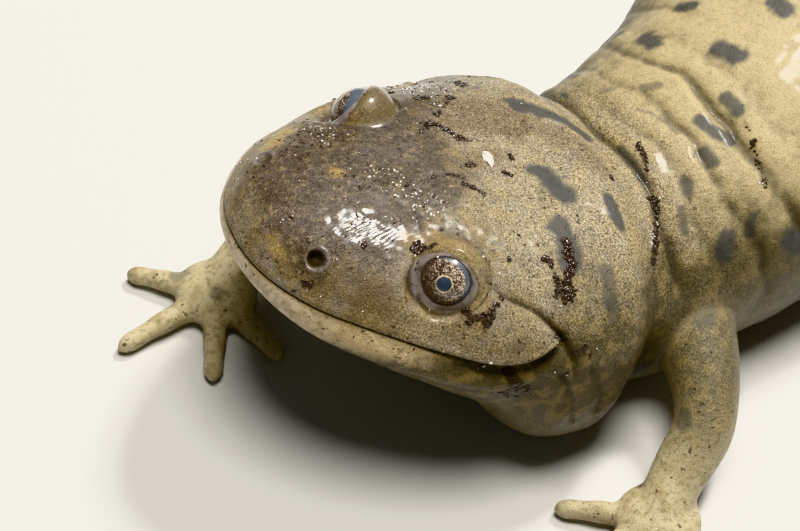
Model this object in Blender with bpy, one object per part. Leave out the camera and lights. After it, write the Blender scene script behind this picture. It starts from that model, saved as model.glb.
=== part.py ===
# Tiger salamander, life size, walking with its belly and tail on the ground.
# The head is lifted and turned to the animal's right of the trunk, the right forefoot reaches
# ahead of the snout, and the tail swings back in a shallow S.
# Lengths are in millimetres along the spine from the snout tip, and become metres at the end.
import math

import bmesh
import bpy
import numpy as np
from mathutils import Matrix, Vector

# Driving sizes
MM = 0.001
LENGTH = 228.0
GAP = 0.3
SINK = 0.5
HEAD_PITCH = 24.0
HEAD_STRAIGHT_TO = 24.0
BODY_LEVEL_FROM = 40.0
SPINE_STEP = 0.25

# Half width, height above and depth below the spine, each as (station, size)
HALF_WIDTH = (
    (0, 9.0), (5, 10.55), (9, 11.75), (12, 13.0), (16, 14.3), (20, 14.9), (24, 16.3), (28, 15.7),
    (32, 12.9), (37, 13.0), (46, 13.8), (60, 16.0), (80, 16.4), (94, 15.2), (104, 12.6),
    (113, 10.2), (122, 8.2), (134, 6.6), (160, 4.9), (190, 3.3), (214, 1.9), (228, 1.0),
)
TOP = (
    (0, 3.2), (3, 4.3), (6, 5.4), (9, 6.2), (12, 6.8), (16, 7.8), (20, 8.4), (24, 9.0), (29, 10.0),
    (34, 9.3), (40, 10.0), (50, 11.6), (65, 12.6), (82, 12.6), (98, 11.0), (110, 9.4), (122, 8.4),
    (140, 7.6), (165, 6.6), (190, 5.2), (212, 3.4), (228, 1.2),
)
BOTTOM = (
    (0, 2.4), (4, 4.0), (8, 4.5), (12, 4.7), (18, 6.1), (24, 9.2), (28, 9.8), (33, 8.5),
    (40, 9.2), (52, 10.4), (80, 11.2), (98, 10.0), (110, 8.8), (122, 7.4), (140, 6.4), (165, 5.4),
    (190, 4.2), (212, 2.8), (228, 1.0),
)
# Heading of the spine in degrees, positive to the animal's left
HEADING = (
    (0, 14), (24, 14), (32, 18), (46, 32), (60, 46), (76, 44), (98, 24), (122, 8), (150, 4),
    (185, 16), (228, 38),
)
# Powers of the rounded section, above and below the spine: 2 is an ellipse, more is squarer
POWER_UP = ((0, 2.0), (12, 2.2), (26, 2.2), (40, 2.1), (110, 2.0), (140, 1.75), (228, 2.0))
POWER_DOWN = (
    (0, 2.0), (12, 2.7), (20, 3.0), (26, 3.3), (34, 2.6), (40, 2.2), (100, 2.2), (228, 2.0),
)
# The snout and the tail tip close with these radii and powers
SNOUT_WIDTH = (13.0, 2.3)
SNOUT_TOP = (4.5, 2.2)
SNOUT_BOTTOM = (6.5, 2.2)
TAIL_TIP = 6.0

# The line of the mouth, as height over the spine, with its corner turned up behind the cheek
MOUTH_RISE = (
    (0, 0.0), (3.8, 0.4), (6.4, 0.75), (10.3, 1.0), (15.6, 1.2), (17.8, 1.4), (19.8, 2.3),
    (21.2, 3.3), (22.0, 4.0),
)
MOUTH_CORNER = 22.0
# The jaw block: its back edge slopes to this station, and it reaches this far down and sideways
JAW_BACK = 28.0
JAW_REACH = {"ahead": 3.0, "down": 14.0, "side": 26.0, "steps": 16}

# Swellings of the head, as (station, length, place across or up, its reach, height)
LOWER_LIP = {"under_line": 1.5, "thickness": 1.1, "height": 0.75, "ends": 23.0, "fades_over": 6.0}
TEMPLE = (21.5, 5.0, 8.0, 3.6, 0.6)
CHEEK = (17.6, 4.6, 3.2, 1.6, 0.85)
CHEEK_GROOVE = {"station": 22.4, "slant": 0.45, "width": 0.8, "height": 4.2, "reach": 2.0, "depth": 0.6}
CHEEK_SIDE = 6.0

# Eyes, in the head's own axes: forward, left and up from the snout tip
EYE_CENTRE = (-13.1, 8.55, 4.95)
EYE_RADIUS = 2.4
LID_RADIUS = 3.2
LID_OPENING = 1.95
GAZE = (0.64, 0.70, 0.31)
GAZE_REACH = 6.0
NOSTRIL = (-3.25, 5.65, 3.5)
NOSTRIL_AXIS = (0.45, 0.62, 0.64)
NOSTRIL_DEPTH = 1.3
NOSTRIL_MOUTH = 1.6
NOSTRIL_RADII = (0.2, 0.85)

# Folds of the body
FIRST_GROOVE = 50.0
GROOVE_STEP = 4.7
GROOVES = 12
GROOVE_DEPTH = 0.5
GROOVE_WIDTH = 0.8
THROAT_FOLD = 31.0
NAPE_FOLD = 34.6
FOLD_WIDTH = 1.2
THROAT_FOLD_DEPTH = 0.7
NAPE_FOLD_DEPTH = 0.42

# Lengths of the trunk and the tail, parted at these stations
PARTS = (
    ("neck", 31.0, 34.6),
    ("torso_front", 34.6, 59.4),
    ("torso_middle", 59.4, 82.9),
    ("torso_rear", 82.9, 107.0),
    ("tail_base", 107.0, 142.0),
    ("tail_middle", 142.0, 184.0),
    ("tail_tip", 184.0, LENGTH),
)

# Each leg: the station of its root, then root, middle joint, wrist or ankle and sole centre as
# (forward, outward, height) from the spine, and the way the sole points, in degrees outward
LEGS = {
    "fore_left": {
        "station": 37.0, "side": 1, "sole_heading": 34.0,
        "joints": ((-0.6, 7.0, 8.6), (3.9, 18.8, 6.2), (8.3, 20.6, 3.0), (11.0, 22.4, 1.45)),
    },
    "fore_right": {
        "station": 36.0, "side": -1, "sole_heading": -28.0,
        "joints": ((0.5, 6.0, 9.0), (10.5, 19.9, 4.6), (23.6, 16.4, 2.7), (29.2, 13.5, 1.45)),
    },
    "hind_left": {
        "station": 101.0, "side": 1, "sole_heading": 22.0,
        "joints": ((0.0, 6.0, 8.0), (9.0, 19.0, 8.2), (10.0, 29.6, 3.6), (14.2, 32.6, 1.5)),
    },
    "hind_right": {
        "station": 101.0, "side": -1, "sole_heading": 66.0,
        "joints": ((0.0, 6.0, 8.0), (-5.0, 19.4, 8.0), (-14.4, 25.0, 3.6), (-15.0, 30.2, 1.5)),
    },
}
# Leg radii at the root, middle joint and wrist, the names of its lengths, the sole's half
# length, width and height, and each digit as (degrees from the sole's heading, length)
LIMB_KINDS = {
    "fore": {
        "radii": (3.7, 2.45, 2.05), "names": ("upper_arm", "forearm", "foot"),
        "sole": (3.3, 3.5, 1.8),
        "digits": ((-74, 7.4), (-32, 7.8), (22, 8.8), (76, 7.0)), "digit_radius": 1.15,
    },
    "hind": {
        "radii": (5.4, 3.8, 2.7), "names": ("thigh", "shank", "foot"),
        "sole": (3.8, 3.9, 1.9),
        "digits": ((-72, 6.4), (-36, 8.2), (-4, 9.4), (29, 9.2), (64, 7.2)), "digit_radius": 1.2,
    },
}

# Flesh of a leg: how much its upper and lower lengths swell, and how far along
UPPER_FLESH = (0.3, 4.0)
LOWER_FLESH = (0.25, 3.0)
LOWER_FLESH_AT = 4.0
# How much of each side of a joint its bend takes up
BEND_SHARE = 0.42
# Digits: how much they taper, the swelling at the last joint, where the tip starts to round,
# and how high they arch over the ground
DIGIT_TAPER = 0.42
DIGIT_PAD = (0.82, 0.12, 0.12)
DIGIT_TIP = 0.86
DIGIT_ARCH = 0.35
DIGIT_ROOT = 0.9

# How finely each piece is divided
HEAD_RINGS = 26
HEAD_SIDES = 44
BODY_SIDES = 30
TAIL_SIDES = 18
TAIL_SPACING = 5.0
LIMB_SIDES = 10
LIMB_RINGS = 7
DIGIT_SIDES = 7
DIGIT_RINGS = 6
# How far along the trunk a leg's root is kept clear of it
CLEARANCE_REACH = 17.0

# Colour and roughness of each kind of surface
FINISHES = {
    "head": ((0.115, 0.088, 0.038), 0.38),
    "jaw": ((0.150, 0.120, 0.045), 0.42),
    "eye": ((0.020, 0.016, 0.012), 0.08),
    "body": ((0.240, 0.200, 0.090), 0.42),
    "leg": ((0.200, 0.165, 0.085), 0.42),
}


def curve(table, station):
    """Read a table of (station, value) pairs along a smooth curve that never overshoots."""
    x = np.array([pair[0] for pair in table], float)
    y = np.array([pair[1] for pair in table], float)
    step = np.diff(x)
    rise = np.diff(y) / step
    slope = np.zeros_like(y)
    slope[0] = rise[0]
    slope[-1] = rise[-1]
    for i in range(1, len(x) - 1):
        if rise[i - 1] * rise[i] > 0:
            before = 2 * step[i] + step[i - 1]
            after = step[i] + 2 * step[i - 1]
            slope[i] = (before + after) / (before / rise[i - 1] + after / rise[i])
    s = np.clip(np.asarray(station, float), x[0], x[-1])
    i = np.clip(np.searchsorted(x, s, side="right") - 1, 0, len(step) - 1)
    t = (s - x[i]) / step[i]
    hold = 2 * t**3 - 3 * t**2
    start = (hold + 1) * y[i] + (t**3 - 2 * t**2 + t) * step[i] * slope[i]
    finish = -hold * y[i + 1] + (t**3 - t**2) * step[i] * slope[i + 1]
    return start + finish


def snout_rounding(station, radius, power):
    near = np.clip(1 - np.asarray(station, float) / radius, 0, 1)
    return (1 - near**power) ** (1 / power)


def tail_rounding(station):
    near = np.clip(1 - (LENGTH - np.asarray(station, float)) / TAIL_TIP, 0, 1)
    return np.sqrt(np.clip(1 - near**2, 0, 1))


def smoothstep(value):
    t = np.clip(value, 0, 1)
    return t * t * (3 - 2 * t)


class Spine:
    """The curve through the body, with its forward, left and up directions at any station."""

    def __init__(self):
        self.station = np.arange(0, LENGTH + SPINE_STEP / 2, SPINE_STEP)
        heading = np.radians(curve(HEADING, self.station))
        height = curve(BOTTOM, self.station) - SINK
        resting = -np.arcsin(np.clip(np.gradient(height, self.station), -0.9, 0.9))
        level = int(round(BODY_LEVEL_FROM / SPINE_STEP))
        run = BODY_LEVEL_FROM - HEAD_STRAIGHT_TO
        ease = smoothstep((self.station - HEAD_STRAIGHT_TO) / run)
        lifted = math.radians(HEAD_PITCH) * (1 - ease) + resting[level] * ease
        pitch = np.where(self.station < BODY_LEVEL_FROM, lifted, resting)
        across = np.cos(pitch)
        self.forward = np.stack(
            [np.cos(heading) * across, np.sin(heading) * across, np.sin(pitch)], 1
        )
        self.left = np.stack([-np.sin(heading), np.cos(heading), 0 * heading], 1)
        back = -self.forward
        steps = np.cumsum((back[1:] + back[:-1]) / 2 * SPINE_STEP, axis=0)
        self.point = np.concatenate([np.zeros((1, 3)), steps])
        self.point[:, 2] += height[level] - self.point[level, 2]

    def read(self, rows, station):
        return np.stack([np.interp(station, self.station, rows[:, k]) for k in range(3)], -1)

    def at(self, station):
        forward = self.read(self.forward, station)
        forward /= np.linalg.norm(forward, axis=-1, keepdims=True)
        left = self.read(self.left, station)
        left /= np.linalg.norm(left, axis=-1, keepdims=True)
        return self.read(self.point, station), forward, left, np.cross(forward, left)


SPINE = Spine()
HEAD_POINT, HEAD_FORWARD, HEAD_LEFT, HEAD_UP = SPINE.at(np.array(0.0))


def in_head(point):
    """A place given in the head's axes, in the body's frame."""
    x, y, z = point
    return HEAD_POINT + HEAD_FORWARD * x + HEAD_LEFT * y + HEAD_UP * z


def head_direction(vector):
    x, y, z = vector
    v = HEAD_FORWARD * x + HEAD_LEFT * y + HEAD_UP * z
    return v / np.linalg.norm(v)


def bump(distance):
    return np.exp(-(distance**2))


def swelling(station, y, z):
    """How far the surface stands out from the plain section, in millimetres."""
    side = np.abs(y)
    lip = LOWER_LIP
    out = lip["height"] * bump((z - curve(MOUTH_RISE, station) + lip["under_line"]) / lip["thickness"])
    out = out * smoothstep((lip["ends"] - station) / lip["fades_over"]) * (np.abs(z) < 6)
    place, length, across, reach, height = TEMPLE
    out = out + height * bump((station - place) / length) * bump((side - across) / reach) * (z > 0)
    place, length, up, reach, height = CHEEK
    out = out + height * bump((station - place) / length) * bump((z - up) / reach) * (side > CHEEK_SIDE)
    groove = CHEEK_GROOVE
    line = station - groove["station"] - groove["slant"] * (groove["height"] - z)
    pressed = bump(line / groove["width"]) * bump((z - groove["height"] + 1.6) / groove["reach"])
    out = out - groove["depth"] * pressed * (side > CHEEK_SIDE)
    under = smoothstep(0.5 - z / 6)
    out = out - THROAT_FOLD_DEPTH * under * bump((station - THROAT_FOLD) / FOLD_WIDTH)
    out = out - NAPE_FOLD_DEPTH * (1 - under) * bump((station - NAPE_FOLD) / FOLD_WIDTH)
    lateral = smoothstep((side / np.maximum(curve(HALF_WIDTH, station), 1) - 0.25) / 0.3)
    lateral = lateral * smoothstep((z + 8.5) / 3)
    for k in range(GROOVES):
        groove_at = FIRST_GROOVE + k * GROOVE_STEP
        out = out - GROOVE_DEPTH * lateral * bump((station - groove_at) / GROOVE_WIDTH)
    return out


def section(station, angle, inflate=0.0):
    width = curve(HALF_WIDTH, station) * snout_rounding(station, *SNOUT_WIDTH)
    above = curve(TOP, station) * snout_rounding(station, *SNOUT_TOP)
    below = curve(BOTTOM, station) * snout_rounding(station, *SNOUT_BOTTOM)
    close = tail_rounding(station)
    cosine, sine = np.cos(angle), np.sin(angle)
    power = np.where(sine >= 0, curve(POWER_UP, station), curve(POWER_DOWN, station))
    height = np.where(sine >= 0, above, below) * close + inflate
    y = (width * close + inflate) * np.sign(cosine) * np.abs(cosine) ** (2 / power)
    z = height * np.sign(sine) * np.abs(sine) ** (2 / power)
    return y, z


def body_surface(station, angle, inflate=0.0, folds=True):
    station, angle = np.broadcast_arrays(np.asarray(station, float), np.asarray(angle, float))
    y, z = section(station, angle, inflate)
    if folds:
        reach = np.maximum(np.hypot(y, z), 1e-6)
        grow = 1 + swelling(station, y, z) * smoothstep(reach / 3) / reach
        y, z = y * grow, z * grow
    point, _, left, up = SPINE.at(station)
    return point + left * y[..., None] + up * z[..., None]


def on_floor(points):
    """Flatten what would sink below the ground."""
    points = np.array(points)
    points[..., 2] = np.maximum(points[..., 2], 0.0)
    return points


def loft(rings, start=None, finish=None):
    """A closed mesh through rings of equal count, with a point or a flat cap at each end."""
    bm = bmesh.new()
    rows = [[bm.verts.new(Vector(p)) for p in ring] for ring in rings]
    for a, b in zip(rows, rows[1:]):
        for i in range(len(a)):
            j = (i + 1) % len(a)
            bm.faces.new((a[i], a[j], b[j], b[i]))
    for row, tip, order in ((rows[0], start, -1), (rows[-1], finish, 1)):
        if tip is None:
            tip = sum((v.co for v in row), Vector()) / len(row)
        centre = bm.verts.new(Vector(tip))
        for i in range(len(row)):
            j = (i + 1) % len(row)
            bm.faces.new((row[i], row[j], centre)[::order])
    bmesh.ops.triangulate(bm, faces=bm.faces)
    bmesh.ops.recalc_face_normals(bm, faces=bm.faces)
    return bm


def add_object(name, bm):
    mesh = bpy.data.meshes.new(name)
    bm.to_mesh(mesh)
    bm.free()
    item = bpy.data.objects.new(name, mesh)
    bpy.context.scene.collection.objects.link(item)
    return item


def discard(item):
    bpy.data.objects.remove(item, do_unlink=True)


def keep_largest(item):
    """Keep the largest closed surface of a mesh and weld what the cuts left."""
    bm = bmesh.new()
    bm.from_mesh(item.data)
    bmesh.ops.remove_doubles(bm, verts=bm.verts, dist=0.002)
    bmesh.ops.dissolve_degenerate(bm, edges=bm.edges, dist=0.002)
    bmesh.ops.triangulate(bm, faces=bm.faces)
    unseen = set(bm.faces)
    shells = []
    while unseen:
        shell = set()
        queue = [unseen.pop()]
        while queue:
            face = queue.pop()
            shell.add(face)
            for edge in face.edges:
                for other in edge.link_faces:
                    if other in unseen:
                        unseen.discard(other)
                        queue.append(other)
        shells.append(shell)
    largest = max(shells, key=lambda shell: sum(face.calc_area() for face in shell))
    scraps = [face for face in bm.faces if face not in largest]
    bmesh.ops.delete(bm, geom=scraps, context="FACES")
    loose = [vert for vert in bm.verts if not vert.link_faces]
    bmesh.ops.delete(bm, geom=loose, context="VERTS")
    bm.to_mesh(item.data)
    bm.free()


def apply_boolean(item, operation, other=None, collection=None):
    cut = item.modifiers.new("cut", "BOOLEAN")
    cut.operation = operation
    cut.solver = "EXACT"
    if collection:
        cut.operand_type = "COLLECTION"
        cut.collection = collection
    else:
        cut.object = other
    depsgraph = bpy.context.evaluated_depsgraph_get()
    result = bpy.data.meshes.new_from_object(item.evaluated_get(depsgraph))
    item.modifiers.clear()
    item.data = result
    keep_largest(item)


def cut_away(item, cutter, operation="DIFFERENCE"):
    apply_boolean(item, operation, other=cutter)
    discard(cutter)


def fuse(item, others):
    """One union of an object with a collection of closed pieces, which it takes up."""
    group = bpy.data.collections.new(item.name + "_pieces")
    bpy.context.scene.collection.children.link(group)
    for other in others:
        bpy.context.scene.collection.objects.unlink(other)
        group.objects.link(other)
    apply_boolean(item, "UNION", collection=group)
    for other in others:
        discard(other)
    bpy.data.collections.remove(group)


def flatten_on_floor(item):
    for vert in item.data.vertices:
        vert.co.z = max(vert.co.z, 0.0)


def finish(item, kind):
    """Give a piece its finish and smooth shading, and turn millimetres into metres."""
    colour, roughness = FINISHES[kind]
    material = bpy.data.materials.new(item.name + "_skin")
    material.use_nodes = True
    shader = material.node_tree.nodes["Principled BSDF"]
    shader.inputs["Base Color"].default_value = (*colour, 1.0)
    shader.inputs["Roughness"].default_value = roughness
    shader.inputs["Metallic"].default_value = 0.0
    item.data.materials.clear()
    item.data.materials.append(material)
    item.data.transform(Matrix.Scale(MM, 4))
    item.data.shade_smooth()
    return item


def angles(sides):
    return np.linspace(0, 2 * math.pi, sides, endpoint=False)


def trunk_length(stations, sides, inflate=0.0, folds=True):
    rings = [on_floor(body_surface(s, angles(sides), inflate, folds)) for s in stations]
    return loft(rings)


def ball(centre, radius, rings, sides):
    bm = bmesh.new()
    bmesh.ops.create_uvsphere(bm, u_segments=sides, v_segments=rings, radius=radius)
    bmesh.ops.triangulate(bm, faces=bm.faces)
    bmesh.ops.translate(bm, verts=bm.verts, vec=Vector(centre))
    return bm


def aligned_cone(base, tip, base_radius, tip_radius, sides):
    axis = Vector(tip) - Vector(base)
    bm = bmesh.new()
    bmesh.ops.create_cone(
        bm, cap_ends=True, cap_tris=True, segments=sides,
        radius1=base_radius, radius2=tip_radius, depth=axis.length,
    )
    turn = Vector((0, 0, 1)).rotation_difference(axis).to_matrix().to_4x4()
    place = Matrix.Translation((Vector(base) + Vector(tip)) / 2)
    bmesh.ops.transform(bm, matrix=place @ turn, verts=bm.verts)
    return bm


def mirrored(point, side):
    return (point[0], point[1] * side, point[2])


def mouth_block(offset):
    """A wedge that holds the lower jaw: under the mouth line and ahead of the jaw's back."""
    ahead, down = -JAW_REACH["ahead"], -JAW_REACH["down"]
    line = []
    for s in np.linspace(ahead, MOUTH_CORNER, JAW_REACH["steps"]):
        line.append((float(s), float(curve(MOUTH_RISE, s)) + offset))
    corner = (MOUTH_CORNER + offset, line[-1][1])
    outline = line[:-1] + [corner, (JAW_BACK + offset, down), (ahead, down)]
    bm = bmesh.new()
    rows = []
    for y in (-JAW_REACH["side"], JAW_REACH["side"]):
        rows.append([bm.verts.new(Vector(in_head((-s, y, z)))) for s, z in outline])
    for i in range(len(outline)):
        j = (i + 1) % len(outline)
        bm.faces.new((rows[0][i], rows[0][j], rows[1][j], rows[1][i]))
    bm.faces.new(rows[0])
    bm.faces.new(rows[1])
    bmesh.ops.triangulate(bm, faces=bm.faces)
    bmesh.ops.recalc_face_normals(bm, faces=bm.faces)
    return bm


def eye_socket(side):
    """The hollow that an eye sits in, with the opening between the lids."""
    centre = in_head(mirrored(EYE_CENTRE, side))
    gaze = head_direction(mirrored(GAZE, side))
    socket = add_object("socket", ball(centre, EYE_RADIUS + GAP, 10, 16))
    mouth = LID_OPENING * GAZE_REACH / LID_RADIUS
    opening = aligned_cone(centre, centre + gaze * GAZE_REACH, LID_OPENING / 3, mouth, 16)
    fuse(socket, [add_object("opening", opening)])
    return socket


def nostril_pit(side):
    hole = in_head(mirrored(NOSTRIL, side))
    outward = head_direction(mirrored(NOSTRIL_AXIS, side))
    deep, mouth = hole - outward * NOSTRIL_DEPTH, hole + outward * NOSTRIL_MOUTH
    return add_object("pit", aligned_cone(deep, mouth, *NOSTRIL_RADII, 10))


def build_head():
    """Head and lower jaw, with raised lids, eye sockets, nostrils and the line of the mouth."""
    end = THROAT_FOLD - GAP / 2
    stations = [end * (i / HEAD_RINGS) ** 1.45 for i in range(1, HEAD_RINGS + 1)]
    rings = [body_surface(s, angles(HEAD_SIDES)) for s in stations]
    head = add_object("head", loft(rings, start=body_surface(0.0, 0.0)))
    lids = []
    for side in (1, -1):
        centre = in_head(mirrored(EYE_CENTRE, side))
        lids.append(add_object(f"lid_{side}", ball(centre, LID_RADIUS, 12, 18)))
    fuse(head, lids)
    for side in (1, -1):
        cut_away(head, eye_socket(side))
        cut_away(head, nostril_pit(side))
    jaw = head.copy()
    jaw.data = head.data.copy()
    jaw.name = "lower_jaw"
    bpy.context.scene.collection.objects.link(jaw)
    cut_away(head, add_object("above_mouth", mouth_block(GAP / 2)))
    cut_away(jaw, add_object("below_mouth", mouth_block(-GAP / 2)), "INTERSECT")
    for side, name in ((1, "eye_left"), (-1, "eye_right")):
        centre = in_head(mirrored(EYE_CENTRE, side))
        eye = add_object(name, ball(centre, EYE_RADIUS, 10, 14))
        finish(eye, "eye")
    return [finish(head, "head"), finish(jaw, "jaw")]


def trunk_stations(start, end):
    """Close rings where a groove crosses the length, wider ones elsewhere."""
    stations = {start, end}
    for k in range(GROOVES):
        groove = FIRST_GROOVE + k * GROOVE_STEP
        for offset in (-GROOVE_STEP / 2, -1.0, 0.0, 1.0):
            if start + 0.5 < groove + offset < end - 0.5:
                stations.add(groove + offset)
    plain = [s for s in np.arange(start, end, 2.4) if s < FIRST_GROOVE - 2.6 and s > start + 0.5]
    stations.update(plain)
    last = FIRST_GROOVE + (GROOVES - 1) * GROOVE_STEP + 1.6
    stations.update(s for s in np.arange(start + 3, end - 1, TAIL_SPACING) if s > last)
    return sorted(stations)


def build_trunk():
    for name, start, end in PARTS:
        sides = TAIL_SIDES if name.startswith("tail") else BODY_SIDES
        first = start + GAP / 2
        last = end - (GAP / 2 if end < LENGTH else 0.0)
        stations = trunk_stations(first, last)
        if end >= LENGTH:
            tip = on_floor(body_surface(LENGTH, 0.0))
            stations = [s for s in stations if s < LENGTH - 0.5] + [LENGTH - 0.5]
            rings = [on_floor(body_surface(s, angles(sides))) for s in stations]
            finish(add_object(name, loft(rings, finish=tip)), "body")
        else:
            finish(add_object(name, trunk_length(stations, sides)), "body")


def leg_joints(leg):
    """The leg's joints in the body's frame, from offsets on the ground beside its root."""
    point, forward, _, _ = SPINE.at(np.array(leg["station"]))
    ahead = np.array([forward[0], forward[1], 0.0])
    ahead /= np.linalg.norm(ahead)
    outward = np.array([-ahead[1], ahead[0], 0.0]) * leg["side"]
    ground = np.array([point[0], point[1], 0.0])
    places = [ground + ahead * f + outward * o + np.array([0, 0, h]) for f, o, h in leg["joints"]]
    return places, ahead, outward


def rounded_path(corners, steps):
    """A smooth path that cuts the corners of a line through the joints."""
    points = [corners[0]]
    for a, b, c in zip(corners, corners[1:], corners[2:]):
        start, end = b + (a - b) * BEND_SHARE, b + (c - b) * BEND_SHARE
        for i in range(steps + 1):
            t = i / steps
            points.append(start * (1 - t) ** 2 + b * 2 * t * (1 - t) + end * t**2)
    points.append(corners[-1])
    return np.array(points)


def read_path(points, run, at):
    return np.stack([np.interp(at, run, points[:, k]) for k in range(3)], -1)


def resample(points, count):
    run = np.concatenate([[0], np.cumsum(np.linalg.norm(np.diff(points, axis=0), axis=1))])
    at = np.linspace(0, run[-1], count)
    return read_path(points, run, at), at


def tube_rings(points, ways, radii, sides):
    """Round rings across a path, kept upright."""
    turn = angles(sides)[:, None]
    rings = []
    for point, way, radius in zip(points, ways, radii):
        way = way / np.linalg.norm(way)
        side = np.cross([0.0, 0.0, 1.0], way)
        side /= np.linalg.norm(side)
        up = np.cross(way, side)
        rings.append(point + (side * np.cos(turn) + up * np.sin(turn)) * radius)
    return rings


def build_digit(name, root, way, length, radius):
    """One finger or toe: a tapering tube with a rounded tip, arched a little over the ground."""
    t = np.linspace(0, 1, DIGIT_RINGS)
    points = root + np.outer(t * length, way)
    pad_at, pad_reach, pad_height = DIGIT_PAD
    swell = 1 - DIGIT_TAPER * t + pad_height * bump((t - pad_at) / pad_reach)
    past_tip = np.clip(t - DIGIT_TIP, 0, 1) / (1.005 - DIGIT_TIP)
    radii = radius * swell * np.sqrt(np.clip(1 - past_tip**2, 0.03, 1))
    points[:, 2] = radius * (0.95 - 0.35 * t) + DIGIT_ARCH * np.sin(math.pi * t)
    ways = np.gradient(points, axis=0)
    return add_object(name, loft(tube_rings(points, ways, radii, DIGIT_SIDES)))


class LegPath:
    """The rounded path through a leg's joints, with its radius at each point."""

    def __init__(self, joints, radii):
        self.points, self.run = resample(rounded_path(joints, 8), 49)
        self.elbow = self.nearest(joints[1])
        self.wrist = self.nearest(joints[2])
        self.end = self.run[-1]
        root, middle, last = radii
        marks = ((0, root), (self.elbow, middle), (self.wrist, last), (self.end, last))
        height, reach = UPPER_FLESH
        flesh = height * bump((self.run - self.elbow / 2) / reach)
        height, reach = LOWER_FLESH
        flesh = flesh + height * bump((self.run - self.elbow - LOWER_FLESH_AT) / reach)
        self.radii = curve(marks, self.run) + flesh
        self.ways = np.stack([np.gradient(self.points[:, k], self.run) for k in range(3)], -1)

    def nearest(self, joint):
        return self.run[np.argmin(np.linalg.norm(self.points - joint, axis=1))]

    def length(self, start, end):
        """A closed tube over part of the path."""
        at = np.linspace(start, end, LIMB_RINGS)
        points = read_path(self.points, self.run, at)
        ways = read_path(self.ways, self.run, at)
        return loft(tube_rings(points, ways, np.interp(at, self.run, self.radii), LIMB_SIDES))


def build_upper(name, leg, path):
    """The upper length, with its root cut to the trunk's own surface."""
    upper = add_object(name, path.length(0.0, path.elbow - GAP / 2))
    near = np.linspace(leg["station"] - CLEARANCE_REACH, leg["station"] + CLEARANCE_REACH, 21)
    cut_away(upper, add_object("trunk_clearance", trunk_length(near, BODY_SIDES, inflate=GAP)))
    flatten_on_floor(upper)
    finish(upper, "leg")


def build_sole(name, centre, way, across, sizes):
    """The flat ball of a foot."""
    bm = bmesh.new()
    bmesh.ops.create_uvsphere(bm, u_segments=12, v_segments=6, radius=1.0)
    bmesh.ops.triangulate(bm, faces=bm.faces)
    length, width, height = sizes
    axes = Matrix((way * length, across * width, np.array([0, 0, height]))).transposed()
    if axes.determinant() < 0:
        bmesh.ops.reverse_faces(bm, faces=bm.faces)
    place = Matrix.Translation(Vector(centre)) @ axes.to_4x4()
    bmesh.ops.transform(bm, matrix=place, verts=bm.verts)
    return add_object(name, bm)


def build_foot(name, leg, kind, path, joints, ahead, outward):
    """A foot: the end of the leg, its sole and its digits as one solid."""
    heading = math.radians(leg["sole_heading"])
    way = ahead * math.cos(heading) + outward * math.sin(heading)
    across = np.cross([0, 0, 1.0], way) * leg["side"]
    foot = add_object(name, path.length(path.wrist + GAP / 2, path.end))
    centre = joints[3]
    pieces = [build_sole(name + "_sole", centre, way, across, kind["sole"])]
    for k, (spread, length) in enumerate(kind["digits"]):
        turn = math.radians(spread)
        direction = way * math.cos(turn) + across * math.sin(turn)
        root = np.array([centre[0], centre[1], 0.0]) + direction * DIGIT_ROOT
        pieces.append(build_digit(f"{name}_digit_{k}", root, direction, length, kind["digit_radius"]))
    fuse(foot, pieces)
    flatten_on_floor(foot)
    keep_largest(foot)
    finish(foot, "leg")


def build_leg(name, leg):
    kind = LIMB_KINDS[name.split("_")[0]]
    joints, ahead, outward = leg_joints(leg)
    path = LegPath(joints, kind["radii"])
    upper_name, lower_name, foot_name = (f"{name}_{part}" for part in kind["names"])
    build_upper(upper_name, leg, path)
    lower = add_object(lower_name, path.length(path.elbow + GAP / 2, path.wrist - GAP / 2))
    flatten_on_floor(lower)
    finish(lower, "leg")
    build_foot(foot_name, leg, kind, path, joints, ahead, outward)


def stand_at_origin():
    """Move every piece so that the animal's box is centred over the origin."""
    items = [item for item in bpy.data.objects if item.type == "MESH"]
    corners = np.concatenate([[tuple(v.co) for v in item.data.vertices] for item in items])
    low, high = corners.min(0), corners.max(0)
    shift = Matrix.Translation((-(low[0] + high[0]) / 2, -(low[1] + high[1]) / 2, -low[2]))
    for item in items:
        item.data.transform(shift)


def main():
    for item in list(bpy.data.objects):
        bpy.data.objects.remove(item, do_unlink=True)
    build_head()
    build_trunk()
    for name, leg in LEGS.items():
        build_leg(name, leg)
    stand_at_origin()


main()
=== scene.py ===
# %% [markdown]
# A tiger salamander, life size, in its walking pose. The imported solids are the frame: they say how
# big the animal is and where each part lies. Here the skin is modelled again, finer, as one surface
# from snout to tail tip, and the two eyes are set into it. The frame is loaded first, and its box is
# kept, because the finished skin must stay inside it.

# %% Load the frame
import math

import bmesh
import bpy
import numpy as np
from mathutils import Matrix, Vector, kdtree


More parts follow.
